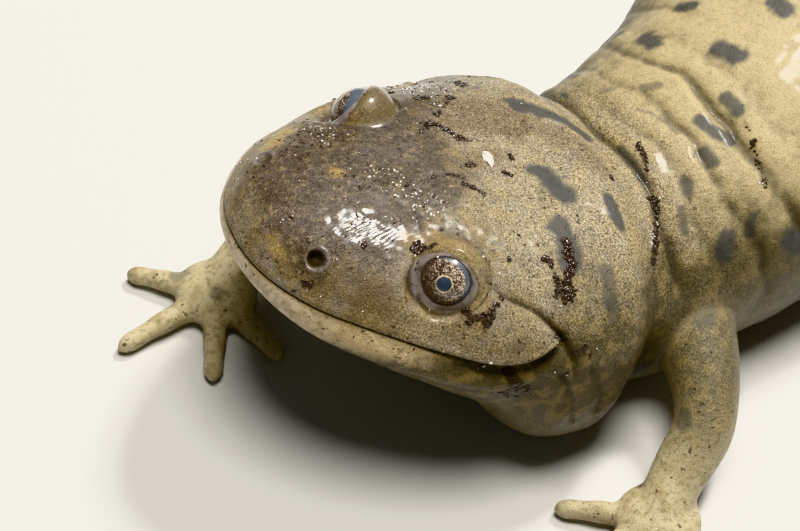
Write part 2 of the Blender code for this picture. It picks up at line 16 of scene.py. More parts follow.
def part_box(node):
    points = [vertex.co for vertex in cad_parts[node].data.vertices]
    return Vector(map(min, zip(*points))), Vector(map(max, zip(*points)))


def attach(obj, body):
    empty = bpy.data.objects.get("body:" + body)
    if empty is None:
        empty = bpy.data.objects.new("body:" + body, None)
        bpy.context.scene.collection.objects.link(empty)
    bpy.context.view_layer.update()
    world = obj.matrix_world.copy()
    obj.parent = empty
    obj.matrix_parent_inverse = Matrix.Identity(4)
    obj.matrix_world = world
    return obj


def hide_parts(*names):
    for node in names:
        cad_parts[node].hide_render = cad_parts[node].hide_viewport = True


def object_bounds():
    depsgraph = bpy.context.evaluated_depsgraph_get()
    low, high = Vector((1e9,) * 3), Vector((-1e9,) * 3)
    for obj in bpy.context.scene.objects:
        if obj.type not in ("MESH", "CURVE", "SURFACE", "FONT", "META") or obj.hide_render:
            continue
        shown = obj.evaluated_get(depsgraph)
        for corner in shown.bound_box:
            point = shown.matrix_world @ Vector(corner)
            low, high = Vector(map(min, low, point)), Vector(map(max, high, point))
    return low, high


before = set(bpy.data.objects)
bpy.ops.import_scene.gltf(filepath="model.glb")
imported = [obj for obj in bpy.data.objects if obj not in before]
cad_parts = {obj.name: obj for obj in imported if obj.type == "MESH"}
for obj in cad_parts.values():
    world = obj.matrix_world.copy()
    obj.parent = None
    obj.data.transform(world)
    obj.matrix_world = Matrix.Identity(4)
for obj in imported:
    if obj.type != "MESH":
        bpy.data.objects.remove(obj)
cad_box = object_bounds()
MM = 0.001
print("nodes in the frame:", len(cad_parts))
print("box of the solids, mm:", [round((b - a) / MM, 1) for a, b in zip(*cad_box)])

# %% [markdown]
# The body is a loft: rings set across a curved spine. A few tables give the half width, the height
# over the spine and the depth under it, at stations counted in millimetres from the snout tip. They
# are the same sizes that the solids were made from. A drawn outline would also work, but tables read
# along a smooth curve are easy to correct one number at a time.

# %% Sizes of the body along its spine
LENGTH = 228.0
SINK = 0.5
HEAD_PITCH = 24.0
HEAD_STRAIGHT_TO = 24.0
BODY_LEVEL_FROM = 40.0
SPINE_STEP = 0.25
STEEPEST = 0.9
HALF_WIDTH = (
    (0, 9.0), (5, 10.55), (9, 11.75), (12, 13.0), (16, 14.3), (20, 14.9), (24, 16.3), (28, 15.7),
    (32, 12.9), (37, 13.0), (46, 13.8), (60, 16.0), (80, 16.4), (94, 15.2), (104, 12.6),
    (113, 10.2), (122, 8.2), (134, 6.6), (160, 4.9), (190, 3.3), (214, 1.9), (228, 1.0),
)
TOP = (
    (0, 3.2), (3, 4.3), (6, 5.4), (9, 6.2), (12, 6.8), (16, 7.8), (20, 8.4), (24, 9.0), (29, 10.0),
    (34, 9.3), (40, 10.0), (50, 11.6), (65, 12.6), (82, 12.6), (98, 11.0), (110, 9.4), (122, 8.4),
    (140, 7.6), (165, 6.6), (190, 5.2), (212, 3.4), (228, 1.2),
)
BOTTOM = (
    (0, 2.4), (4, 4.0), (8, 4.5), (12, 4.7), (18, 6.1), (24, 9.2), (28, 9.8), (33, 8.5),
    (40, 9.2), (52, 10.4), (80, 11.2), (98, 10.0), (110, 8.8), (122, 7.4), (140, 6.4), (165, 5.4),
    (190, 4.2), (212, 2.8), (228, 1.0),
)
HEADING = (
    (0, 14), (24, 14), (32, 18), (46, 32), (60, 46), (76, 44), (98, 24), (122, 8), (150, 4),
    (185, 16), (228, 38),
)
POWER_UP = ((0, 2.0), (12, 2.2), (26, 2.2), (40, 2.1), (110, 2.0), (140, 1.75), (228, 2.0))
POWER_DOWN = (
    (0, 2.0), (12, 2.7), (20, 3.0), (26, 3.3), (34, 2.6), (40, 2.2), (100, 2.2), (228, 2.0),
)
SNOUT_WIDTH = (13.0, 2.3)
SNOUT_TOP = (4.5, 2.2)
SNOUT_BOTTOM = (6.5, 2.2)
TAIL_TIP = 6.0

# %% Reading a table along a smooth curve
def curve(table, station):
    """Read (station, value) pairs along a smooth curve that never overshoots."""
    x, y = np.array(table, float).T
    step = np.diff(x)
    rise = np.diff(y) / step
    slope = np.zeros_like(y)
    slope[0], slope[-1] = rise[0], rise[-1]
    for i in range(1, len(x) - 1):
        if rise[i - 1] * rise[i] > 0:
            before, after = 2 * step[i] + step[i - 1], step[i] + 2 * step[i - 1]
            slope[i] = (before + after) / (before / rise[i - 1] + after / rise[i])
    s = np.clip(np.asarray(station, float), x[0], x[-1])
    i = np.clip(np.searchsorted(x, s, side="right") - 1, 0, len(step) - 1)
    t = (s - x[i]) / step[i]
    hold = 2 * t**3 - 3 * t**2
    start = (hold + 1) * y[i] + (t**3 - 2 * t**2 + t) * step[i] * slope[i]
    return start - hold * y[i + 1] + (t**3 - t**2) * step[i] * slope[i + 1]


def smoothstep(value):
    """0 below 0 and 1 above 1, with a smooth rise between."""
    t = np.clip(value, 0, 1)
    return t * t * (3 - 2 * t)


def bump(distance):
    """1 at no distance, falling off smoothly over about one unit."""
    return np.exp(-(distance**2))


print("half width at the jaw:", float(curve(HALF_WIDTH, 24)))

# %% [markdown]
# The spine turns as well as rises: the head is lifted and looks a little to one side, and the tail
# swings. Adding up small steps along a heading and a pitch gives the curve, with a forward, a left
# and an upward direction at each station, so a section can be laid across it anywhere.

# %% The spine
class Spine:
    """The curve through the body, with its forward, left and up directions at any station."""

    def __init__(self):
        self.station = np.arange(0, LENGTH + SPINE_STEP / 2, SPINE_STEP)
        heading = np.radians(curve(HEADING, self.station))
        height = curve(BOTTOM, self.station) - SINK
        slope = np.clip(np.gradient(height, self.station), -STEEPEST, STEEPEST)
        resting = -np.arcsin(slope)
        level = int(round(BODY_LEVEL_FROM / SPINE_STEP))
        run = BODY_LEVEL_FROM - HEAD_STRAIGHT_TO
        ease = smoothstep((self.station - HEAD_STRAIGHT_TO) / run)
        lifted = math.radians(HEAD_PITCH) * (1 - ease) + resting[level] * ease
        pitch = np.where(self.station < BODY_LEVEL_FROM, lifted, resting)
        level_part = np.cos(pitch)
        ahead = [np.cos(heading) * level_part, np.sin(heading) * level_part, np.sin(pitch)]
        self.forward = np.stack(ahead, 1)
        self.left = np.stack([-np.sin(heading), np.cos(heading), 0 * heading], 1)
        back = -self.forward
        steps = np.cumsum((back[1:] + back[:-1]) / 2 * SPINE_STEP, axis=0)
        self.point = np.concatenate([np.zeros((1, 3)), steps])
        self.point[:, 2] += height[level] - self.point[level, 2]

    def read(self, rows, station):
        """Read rows of x, y and z between the stations."""
        return np.stack([np.interp(station, self.station, rows[:, k]) for k in range(3)], -1)

    def at(self, station):
        """The point of the spine, and its forward, left and up directions there."""
        forward = self.read(self.forward, station)
        forward /= np.linalg.norm(forward, axis=-1, keepdims=True)
        left = self.read(self.left, station)
        left /= np.linalg.norm(left, axis=-1, keepdims=True)
        return self.read(self.point, station), forward, left, np.cross(forward, left)


SPINE = Spine()
HEAD_POINT, HEAD_FORWARD, HEAD_LEFT, HEAD_UP = SPINE.at(np.array(0.0))
HEAD_AXES = np.array([HEAD_FORWARD, HEAD_LEFT, HEAD_UP])
EYE_CENTRE = (-13.1, 8.55, 4.95)


def in_head(point):
    """A place given in the head's axes, forward, left and up from the snout tip."""
    return HEAD_POINT + np.asarray(point, float) @ HEAD_AXES


def head_direction(vector):
    """A direction given in the head's axes, one unit long."""
    way = np.asarray(vector, float) @ HEAD_AXES
    return way / np.linalg.norm(way)


def mirrored(point, side):
    """The same place on the left, side 1, or the right, side -1."""
    return np.array([point[0], point[1] * side, point[2]])


eye_low, eye_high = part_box("eye_left")
ORIGIN = np.array((eye_low + eye_high) / 2) / MM - in_head(EYE_CENTRE)
print("spine starts at, mm:", np.round(HEAD_POINT + ORIGIN, 2))

# %% [markdown]
# The camera comes early. It stands a quarter of a metre from the snout, over the animal's left cheek,
# and looks down at the head with a long lens. Its place is given in the head's own axes, so it would
# follow the head if the pose were changed.

# %% Camera
LENS = 150.0
CAMERA_RIGHT = (-0.81748, 0.39145, 0.42248)
CAMERA_UP = (0.01580, -0.71801, 0.69585)
CAMERA_BACK = (0.57574, 0.57552, 0.58078)
CAMERA_OFFSET = (12.484, -2.115, 250.0)

axes = np.array([head_direction(CAMERA_RIGHT), head_direction(CAMERA_UP), head_direction(CAMERA_BACK)])
camera = bpy.data.objects.new("camera", bpy.data.cameras.new("camera"))
bpy.context.scene.collection.objects.link(camera)
camera.data.lens = LENS
camera.data.sensor_width = 36.0
camera.data.clip_start = 0.01
camera.data.clip_end = 10.0
camera.matrix_world = Matrix(axes.T.tolist()).to_4x4()
camera.location = Vector((HEAD_POINT + ORIGIN + np.array(CAMERA_OFFSET) @ axes) * MM)
bpy.context.scene.camera = camera
print("camera height, mm:", round(camera.location.z / MM, 1))

# %% [markdown]
# Each section is a rounded oval that can be a little squarer than an ellipse. The snout and the tail
# close by shrinking it along a curve that is steep at the end, as a thumb does. The mouth line is
# worked out here too, because the grid of the skin follows it.

# %% The plain section
MOUTH_LINE = (
    (0, 0.0), (1.6, 0.15), (3.8, 0.4), (6.4, 0.75), (10.3, 1.0), (15.6, 1.2), (17.8, 1.45),
    (19.8, 2.3), (21.0, 3.3), (21.9, 4.0), (24, 3.4), (30, 0.0), (228, 0.0),
)
MOUTH_END = 21.5


def close_end(station, radius, power):
    """The share of its size that a section keeps near the snout tip."""
    near = np.clip(1 - np.asarray(station, float) / radius, 0, 1)
    return (1 - near**power) ** (1 / power)


def section_sizes(station):
    """Half width, height over the spine and depth under it."""
    near = np.clip(1 - (LENGTH - station) / TAIL_TIP, 0, 1)
    tail = np.sqrt(np.clip(1 - near**2, 0, 1))
    width = curve(HALF_WIDTH, station) * close_end(station, *SNOUT_WIDTH) * tail
    above = curve(TOP, station) * close_end(station, *SNOUT_TOP) * tail
    below = curve(BOTTOM, station) * close_end(station, *SNOUT_BOTTOM) * tail
    return width, above, below


def section(station, angle):
    """Distances to the left of the spine and over it, on the plain body."""
    width, above, below = section_sizes(station)
    cosine, sine = np.cos(angle), np.sin(angle)
    power = np.where(sine >= 0, curve(POWER_UP, station), curve(POWER_DOWN, station))
    height = np.where(sine >= 0, above, below)
    y = width * np.sign(cosine) * np.abs(cosine) ** (2 / power)
    z = height * np.sign(sine) * np.abs(sine) ** (2 / power)
    return y, z


def mouth_angle(station):
    """The section angle at which the left side meets the mouth line."""
    line = curve(MOUTH_LINE, station)
    _, above, _ = section_sizes(station)
    share = np.clip(line / np.maximum(above, 1e-6), 0, 0.9)
    return np.arcsin(share ** (curve(POWER_UP, station) / 2))


print("mouth angle at 12 mm, degrees:", round(math.degrees(float(mouth_angle(12.0))), 1))

# %% [markdown]
# Rings and columns are not spread evenly. Lids, nostrils and the lips need points about a tenth of a
# millimetre apart, the flanks need far fewer, and the tail fewer still. So the gap between rings
# comes from a table, the columns crowd towards the mouth line and the eyes, and the number of
# columns is halved twice on the way back.

# %% Where the rings and columns lie
RING_GAP = (
    (3, 0.11), (8, 0.085), (16, 0.085), (20, 0.12), (30, 0.15), (44, 0.22), (66, 0.34), (110, 0.6),
    (228, 0.85),
)
TIP_RINGS = 56
TIP_CROWDING = 2.2
TIP_REACH = 3.0
END_RINGS = 14
TOP_COLUMNS = 296
BOTTOM_COLUMNS = 184
HALVE_AT = (70.0, 150.0)
EYE_SHARE = 0.25
EYE_CROWD = 0.11
UPPER_LIP_CROWD = 0.035
LOWER_LIP_CROWD = 0.06
LIP_GAIN = 2.6
EYE_GAIN = 1.5
SPREAD_STEPS = 1201
SECTION_STEPS = 900


def ring_stations():
    """The station of each ring, crowded at both tips."""
    stations = list(TIP_REACH * (np.arange(1, TIP_RINGS + 1) / TIP_RINGS) ** TIP_CROWDING)
    while stations[-1] < LENGTH - TIP_REACH:
        stations.append(stations[-1] + float(curve(RING_GAP, stations[-1])))
    end = LENGTH - stations[-1]
    stations += [LENGTH - end * (1 - i / END_RINGS) ** 2 for i in range(1, END_RINGS)]
    return np.array(stations)


def spread(count, weight):
    """Fractions from 0 to 1, closer together where the weight is greater."""
    fine = np.linspace(0, 1, SPREAD_STEPS)
    total = np.concatenate([[0], np.cumsum((weight(fine)[1:] + weight(fine)[:-1]) / 2)])
    return np.interp(np.arange(count) / count, total / total[-1], fine)


def column_angles(station):
    """The section angle of each column of a ring, from the left mouth line over the back."""
    start = float(mouth_angle(station))
    mouth = LIP_GAIN * smoothstep((27 - station) / 6)
    eyes = EYE_GAIN * smoothstep((24 - station) / 6) * smoothstep((station - 1) / 5)

    def upper(a):
        lips = bump(a / UPPER_LIP_CROWD) + bump((1 - a) / UPPER_LIP_CROWD)
        both_eyes = bump((a - EYE_SHARE) / EYE_CROWD) + bump((1 - a - EYE_SHARE) / EYE_CROWD)
        return 1 + mouth * lips + eyes * both_eyes

    def lower(a):
        return 1 + mouth * (bump(a / LOWER_LIP_CROWD) + bump((1 - a) / LOWER_LIP_CROWD))

    found = []
    for first, last, count, weight in (
        (start, math.pi - start, TOP_COLUMNS, upper),
        (math.pi - start, 2 * math.pi + start, BOTTOM_COLUMNS, lower),
    ):
        fine = np.linspace(first, last, SECTION_STEPS)
        y, z = section(station, fine)
        run = np.concatenate([[0], np.cumsum(np.hypot(np.diff(y), np.diff(z)))])
        found.append(np.interp(spread(count, weight) * run[-1], run, fine))
    return np.concatenate(found)


stations = ring_stations()
angle = np.array([column_angles(s) for s in stations])
print("rings and columns:", angle.shape)

# %% [markdown]
# Skin is never quite even. A lattice of random numbers, read smoothly between its points, gives a
# soft lumpiness that is the same on every run, because the numbers come from one seeded draw.

# %% Smooth noise in space
LATTICE_SIZE = 32
LATTICE = np.random.default_rng(7).uniform(-1, 1, (LATTICE_SIZE, LATTICE_SIZE, LATTICE_SIZE))


def noise(points, size):
    """Random values from -1 to 1 that change over about the given size in millimetres."""
    q = np.asarray(points) / size
    cell = np.floor(q).astype(int)
    t = smoothstep(q - cell)
    total = 0.0
    for corner in np.ndindex(2, 2, 2):
        i, j, k = ((cell[..., n] + corner[n]) % LATTICE_SIZE for n in range(3))
        part = [t[..., n] if corner[n] else 1 - t[..., n] for n in range(3)]
        total = total + LATTICE[i, j, k] * part[0] * part[1] * part[2]
    return total


print("noise at the origin:", round(float(noise(np.zeros(3), 1.0)), 3))

# %% [markdown]
# Grooves, folds and smears follow lines drawn on the head and the body. What such a line does to a
# point depends on how far away it is, so that distance gets a function of its own. A curve object
# could hold each line too, but a short list of places is easier to read and to move.

# %% Distance to a line
def line_distance(line, s, z):
    """How far (s, z) is from a line through a few points, and how far along the line, from 0 to 1."""
    best = np.full(np.shape(s), 1e9)
    share = np.zeros(np.shape(s))
    count = len(line) - 1
    for i, ((s0, z0), (s1, z1)) in enumerate(zip(line, line[1:])):
        ds, dz = s1 - s0, z1 - z0
        t = np.clip(((s - s0) * ds + (z - z0) * dz) / (ds * ds + dz * dz), 0, 1)
        d = np.hypot(s - s0 - t * ds, z - z0 - t * dz)
        share = np.where(d < best, (i + t) / count, share)
        best = np.minimum(best, d)
    return best, share


print("distance check:", line_distance(((0, 0), (4, 0)), np.array(2.0), np.array(3.0)))

# %% [markdown]
# The face is what people look at first. On the real animal the lower lip is a smooth roll, the upper
# lip hangs a little over it, and behind the eye a lens-shaped flap of cheek overlaps the corner of
# the mouth. Each of these is a hill or a valley given by a short formula in the head's own
# directions. Sculpting by hand would do it too, but a formula can be read and corrected.

# %% Lips
LIP_LINE_DEPTH = (0.28, 0.42)
LIP_LINE_WIDTH = (0.09, 0.13)
ROLL_BELOW = 1.5
ROLL_WIDTH = 1.1


def lip_relief(s, z, over):
    """Millimetres that the lips stand out, from the height over the mouth line."""
    mouth = smoothstep((MOUTH_END + 0.6 - s) / 1.6)
    back = smoothstep((s - 8) / 8)
    lip = (0.30 + 0.45 * smoothstep((s - 2) / 6)) * smoothstep((23 - s) / 6)
    out = np.where(np.abs(z) < 6, lip * bump((over + ROLL_BELOW) / ROLL_WIDTH), 0.0)
    out = out + (0.08 + 0.10 * back) * bump((over - 0.45) / 0.42) * mouth
    depth = LIP_LINE_DEPTH[0] + LIP_LINE_DEPTH[1] * back
    width = LIP_LINE_WIDTH[0] + LIP_LINE_WIDTH[1] * back
    out = out - depth * np.exp(-np.abs(over / width) ** 1.6) * mouth
    return out - 0.60 * back * bump((over + 0.55) / 0.6) * mouth


print("lip relief at the line:", round(float(lip_relief(np.array(10.0), np.array(1.0), np.array(0.0))), 2))

# %% Cheek flap and the folds of the mouth's corner
CHEEK_GROOVE = ((14.9, 5.9), (16.7, 5.35), (19.0, 5.0), (20.5, 4.5), (21.6, 3.9))
CORNER_FOLDS = (
    ((21.6, 3.9), (22.8, 2.6), (23.8, 0.6)),
    ((22.2, 1.2), (24.2, -0.8), (25.4, -3.2)),
    ((24.6, 2.2), (26.4, 0.2), (27.2, -2.2)),
)
FLAP_HEIGHT = 0.85
GROOVE_WIDTH = 0.26
FOLD_WIDTH = 0.42
CHEEK_FROM = 6
FAR_SHARE = 0.24


def with_cheek(out, s, y, z, over):
    """The relief with the cheek, its flap and its groove added. They are weaker on the far side."""
    side = np.abs(y)
    cheek = side > CHEEK_FROM
    sharp = FAR_SHARE + (1 - FAR_SHARE) * smoothstep((y + 4) / 6)
    out = out + 0.5 * bump((s - 21.5) / 5) * bump((side - 8.0) / 3.6) * (z > 0)
    room = np.maximum(curve(CHEEK_GROOVE, s) - curve(MOUTH_LINE, s), 0.3)
    share = np.clip(over / room, 0, 1)
    flap = np.sqrt(4 * share * (1 - share)) * smoothstep((s - 11) / 5) * smoothstep((22.2 - s) / 1.4)
    out = out + FLAP_HEIGHT * sharp * flap * cheek
    d, along = line_distance(CHEEK_GROOVE, s, z)
    out = out - (0.08 + 0.55 * along**2) * bump(d / GROOVE_WIDTH) * sharp * cheek
    for k, fold in enumerate(CORNER_FOLDS):
        d, along = line_distance(fold, s, z)
        cut = (0.60 - 0.14 * k) * bump(d / FOLD_WIDTH) * np.sqrt(1 - 0.9 * along)
        out = out - cut * sharp**2 * cheek
    return out


print("folds at each corner of the mouth:", len(CORNER_FOLDS))

# %% Wrinkles of the snout, and the whole face
WRINKLE_GAP = 0.34
WRINKLE_HEIGHT = 0.032
WRINKLE_WAY = (-0.326, -0.945)


def with_wrinkles(out, s, y, z, points):
    """The relief with fine slanting wrinkles on the snout and small lumps all over the head."""
    shaken = 0.30 * noise(points, 1.3) + 0.10 * noise(points, 0.5)
    across = WRINKLE_WAY[0] * s + WRINKLE_WAY[1] * y + shaken
    ridges = np.abs(np.sin(math.pi * across / WRINKLE_GAP)) - 0.6
    snout = bump((s - 7.0) / 4.6) * bump((y - 2.0) / 4.0) * (z > 0)
    patchy = smoothstep(0.5 + noise(points, 2.4))
    out = out + WRINKLE_HEIGHT * ridges * snout * patchy
    lumps = 0.030 * noise(points, 0.55) + 0.05 * noise(points, 1.6)
    return out + lumps * smoothstep((s - 1) / 4) * smoothstep((34 - s) / 6)


def face_relief(s, y, z, points):
    """Millimetres that the face stands out from the plain section."""
    over = z - curve(MOUTH_LINE, s)
    return with_wrinkles(with_cheek(lip_relief(s, z, over), s, y, z, over), s, y, z, points)


print("wrinkles in a centimetre:", round(10 / WRINKLE_GAP))

# %% [markdown]
# Along the trunk the skin is drawn in over each rib, which leaves a row of shallow upright grooves
# down the flanks, and it is pressed into folds where the neck bends. The grooves wander a little and
# differ in depth, so they don't look machined.

# %% Folds of the neck and trunk
FIRST_GROOVE = 50.0
GROOVE_STEP = 4.7
GROOVES = 12
RIB_DEPTH = 0.42
RIB_WIDTH = 0.75
THROAT_FOLD = 31.0
NAPE_FOLD = 34.6
NECK_FOLDS = ((37.8, 0.22, 0.7), (40.4, 0.34, 0.6), (44.2, 0.62, 0.7), (47.2, 0.24, 0.8))


def trunk_relief(s, y, z, points):
    """Millimetres that folds and grooves stand out from the plain section."""
    wander = 1.0 * noise(points, 6.0) + 0.35 * noise(points, 2.0)
    uneven = 0.65 + 0.6 * noise(points + 40, 7.0)
    under = smoothstep(0.5 - z / 6)
    out = -0.7 * under * bump((s - THROAT_FOLD) / 1.2)
    out = out - 0.42 * (1 - under) * bump((s + wander - NAPE_FOLD) / 0.7)
    side = y / np.maximum(curve(HALF_WIDTH, s), 1)
    lateral = smoothstep((np.abs(side) - 0.25) / 0.3) * smoothstep((z + 8.5) / 3)
    upper = smoothstep((z + 4) / 6) * (0.45 + 0.55 * smoothstep(side + 0.6))
    for station, depth, width in NECK_FOLDS:
        out = out - depth * uneven * upper * bump((s + wander - station) / width)
    for k in range(GROOVES):
        depth = RIB_DEPTH * (1 + 0.35 * math.sin(2.3 * k))
        depth = depth * (0.55 if k < 2 else 1.0)
        along = s + wander - FIRST_GROOVE - k * GROOVE_STEP
        out = out - depth * uneven * lateral * bump(along / RIB_WIDTH)
    trunk = smoothstep((s - 26) / 14)
    out = out + (0.16 * noise(points, 5.0) + 0.10 * noise(points, 2.2)) * trunk
    small = 0.05 * noise(points, 1.1) + 0.03 * noise(points, 0.6)
    return out + small * trunk


print("last rib groove at, mm:", round(FIRST_GROOVE + (GROOVES - 1) * GROOVE_STEP, 1))

# %% [markdown]
# Now the plain grid is laid and each of its points is moved straight out or in by the relief there.
# The shape could also be bought with a displacement modifier, but then the lids, which come next,
# would have nothing finished to be pressed into.

# %% Lay the grid and push it out
def place(s, y, z):
    """Points at a station, to the left of the spine and over it."""
    point, _, left, up = SPINE.at(s)
    return point + left * y[..., None] + up * z[..., None]


def grid_normals(grid):
    """Outward directions of a grid of rings that close on themselves."""
    along = np.gradient(grid, axis=0)
    around = np.roll(grid, -1, 1) - np.roll(grid, 1, 1)
    normal = np.cross(around, along)
    length = np.linalg.norm(normal, axis=-1, keepdims=True)
    return normal / np.maximum(length, 1e-9)


s_grid = np.repeat(stations[:, None], angle.shape[1], 1)
y_grid, z_grid = section(s_grid, angle)
plain = place(s_grid, y_grid, z_grid)
normals = grid_normals(plain)
outward = np.sign(np.sum(normals * (plain - plain.mean(1, keepdims=True)), axis=-1).mean())
normals *= outward
relief = face_relief(s_grid, y_grid, z_grid, plain) + trunk_relief(s_grid, y_grid, z_grid, plain)
skin_grid = plain + normals * (relief * smoothstep((LENGTH - s_grid) / 8))[..., None]
print("relief from", round(float(relief.min()), 2), "to", round(float(relief.max()), 2), "mm")

# %% [markdown]
# The eye stands in a round bulge. The lids are that bulge: a thick ring of skin whose inner edge
# lies on the eyeball. The skin is first raised over a ball a little bigger than the eye, and then
# pressed in along the gaze, so the ring dips smoothly to the ball and passes under it. Two fine
# folds run round the opening. The nostril is a pit with a low rim, sunk in the same way.

# %% Lids
EYE_RADIUS = 2.4
LID_RADIUS = 2.80
GAZE = (0.68, 0.67, 0.30)
LID_RISE = (0.30, 0.62, 0.72)
LID_ROUNDING = 0.34
CREST_ROUNDING = 0.40
DOME_ROUNDING = 0.50
LID_REACH = 7.5
LID_PROFILE = (
    (0.0, 1.95), (1.2, 1.5), (1.68, 1.28), (1.82, 1.36), (1.92, 1.47), (2.02, 1.56), (2.15, 1.63),
    (2.3, 1.69), (2.5, 1.76), (2.8, 2.0), (3.4, 2.3),
)
LINING_EDGE = (
    (-180, 2.72), (-145, 2.80), (-100, 2.46), (-60, 2.44), (0, 2.50), (50, 2.22), (90, 2.10),
    (140, 2.26), (180, 2.72),
)


def gaze_axes(side):
    """The gaze, the way back and the way up across it."""
    gaze = head_direction(mirrored(GAZE, side))
    up_way = HEAD_UP - gaze * (HEAD_UP @ gaze)
    up_way /= np.linalg.norm(up_way)
    return gaze, np.cross(up_way, gaze) * side, up_way


def raised_over_ball(v, side):
    """Offsets from the eye's centre, raised over a ball a little bigger than the eye."""
    rise = head_direction(mirrored(LID_RISE, side))
    height = v @ rise
    flat = v - height[:, None] * rise
    reach = np.linalg.norm(flat, axis=1)
    dome = np.sqrt(np.clip(LID_RADIUS**2 - reach**2, 0, None))
    dome = np.where(reach < LID_RADIUS, dome, -3.0 * (reach - LID_RADIUS))
    top = (height + dome + np.sqrt((height - dome) ** 2 + DOME_ROUNDING**2)) / 2
    top = np.where(height > -2.5, top, height)
    fade = smoothstep((6.5 - reach) / 2.5)
    lateral = smoothstep((flat @ HEAD_LEFT * side + 2.2) / 2.4)
    outline = 0.15 * bump((reach - 3.0) / 0.14) * (height > 0) * (0.15 + 0.85 * lateral)
    return flat + rise * (height + (top - height) * fade - outline)[:, None]


def pressed_to_ball(v, side):
    """The same offsets, pressed in along the gaze, with the opening and the folds round it."""
    gaze, back_way, up_way = gaze_axes(side)
    depth = v @ gaze
    flat = v - depth[:, None] * gaze
    u, w = flat @ back_way, flat @ up_way
    turn = np.arctan2(w, u)
    shape = 1.05 - 0.10 * np.abs(np.sin(turn)) + 0.05 * bump((turn + 2.46) / 0.4)
    ring = np.hypot(u, w) / shape
    upper = smoothstep(np.sin(turn) * 1.5 + 0.5)
    cut = curve(LID_PROFILE, ring) - 0.12 * upper * smoothstep((ring - 1.95) / 0.35)
    cut = cut + 3.0 * smoothstep((ring - 2.6) / 0.8)
    rounding = LID_ROUNDING + CREST_ROUNDING * smoothstep((ring - 2.0) / 0.35)
    pressed = (depth + cut - np.sqrt((depth - cut) ** 2 + rounding**2)) / 2 + 0.02
    edge = curve(LINING_EDGE, np.degrees(turn))
    fold = 0.07 * bump((ring - edge) / 0.07) + 0.035 * bump((ring - edge - 0.34) / 0.05) * upper
    inward = smoothstep(depth / 0.8)
    return flat + gaze * (depth + (pressed - fold - depth) * inward)[:, None]


def raise_lids(points, side):
    """The grid with the bulge and the lids of one eye."""
    centre = in_head(mirrored(EYE_CENTRE, side))
    near = np.linalg.norm(points - centre, axis=-1) < LID_REACH
    points = points.copy()
    points[near] = centre + pressed_to_ball(raised_over_ball(points[near] - centre, side), side)
    return points


print("gaze of the left eye:", np.round(gaze_axes(1)[0], 2))

# %% Nostrils
NOSTRIL = (-3.25, 5.65, 3.5)
NOSTRIL_WAY = (0.45, 0.62, 0.64)
PIT_DEPTH = 1.05
RIM_HEIGHT = 0.08
RIM_RADIUS = 0.90


def sink_nostril(points, base, side):
    """The grid with one nostril, found from the plain grid."""
    centre = in_head(mirrored(NOSTRIL, side))
    outward = head_direction(mirrored(NOSTRIL_WAY, side))
    away = base - centre
    along = away @ outward
    reach = np.linalg.norm(away - along[..., None] * outward, axis=-1)
    reach = np.where(np.abs(along) < 2.5, reach, 9.0)
    pit = RIM_HEIGHT * bump((reach - RIM_RADIUS) / 0.16) - PIT_DEPTH * smoothstep((0.78 - reach) / 0.42)
    return points + outward * pit[..., None]


for side in (1, -1):
    skin_grid = raise_lids(skin_grid, side)
    skin_grid = sink_nostril(skin_grid, plain, side)
skin_grid[..., 2] = np.maximum(skin_grid[..., 2], 0.0)
print("highest point of the head, mm:", round(float(skin_grid[stations < 30, :, 2].max()), 2))

# %% [markdown]
# A mesh is points and the faces between them. The rings are joined by quads. Where the columns are
# halved, each pair of points meets one point of the next ring, so the surface stays closed.

# %% Join the grid into one closed mesh
def thin_rings(grid, stations):
    """The rings, with every other point left out past each halving."""
    rings = []
    for ring, s in zip(grid, stations):
        halvings = sum(s > at for at in HALVE_AT)
        rings.append(ring[:: 2**halvings])
    return rings


def join_rings(rings, tip, end):
    """Points and faces of a closed tube through rings whose counts are equal or halve."""
    points = [np.array([tip])] + list(rings) + [np.array([end])]
    starts = np.cumsum([0] + [len(p) for p in points])
    faces = []
    for r in range(len(points) - 1):
        a, b = starts[r], starts[r + 1]
        m, n = len(points[r]), len(points[r + 1])
        if m == 1:
            faces += [(a, b + (i + 1) % n, b + i) for i in range(n)]
        elif n == 1:
            faces += [(a + i, a + (i + 1) % m, b) for i in range(m)]
        elif m == n:
            faces += [(a + i, a + (i + 1) % m, b + (i + 1) % m, b + i) for i in range(m)]
        else:
            for i in range(n):
                p, q, t = a + 2 * i, a + (2 * i + 1) % m, a + (2 * i + 2) % m
                faces += [(p, q, b + i), (q, t, b + (i + 1) % n, b + i)]
    return np.concatenate(points), faces


def new_object(name, points, faces):
    """An object in the scene with a mesh of these points and faces."""
    mesh = bpy.data.meshes.new(name)
    mesh.from_pydata(np.asarray(points).tolist(), [], faces)
    mesh.validate()
    thing = bpy.data.objects.new(name, mesh)
    bpy.context.scene.collection.objects.link(thing)
    return thing


TIP_SET_BACK = 0.15
tip = plain[0].mean(0) - HEAD_FORWARD * TIP_SET_BACK
tail_end = place(np.array([LENGTH]), np.array([0.0]), np.array([0.0]))[0]
points, faces = join_rings(thin_rings(skin_grid, stations), tip, tail_end)
skin = new_object("skin", points, faces)
print("body faces:", len(faces))

# %% [markdown]
# The legs are short and soft, with no claws: four fingers in front and five toes behind. Each is
# made from a tapering tube along its bones, a flat sole and one small tube for each digit, all
# overlapping. Remeshing them as one volume melts them together, which is close to how such soft
# skin looks, where a Boolean alone would leave hard seams between the pieces.

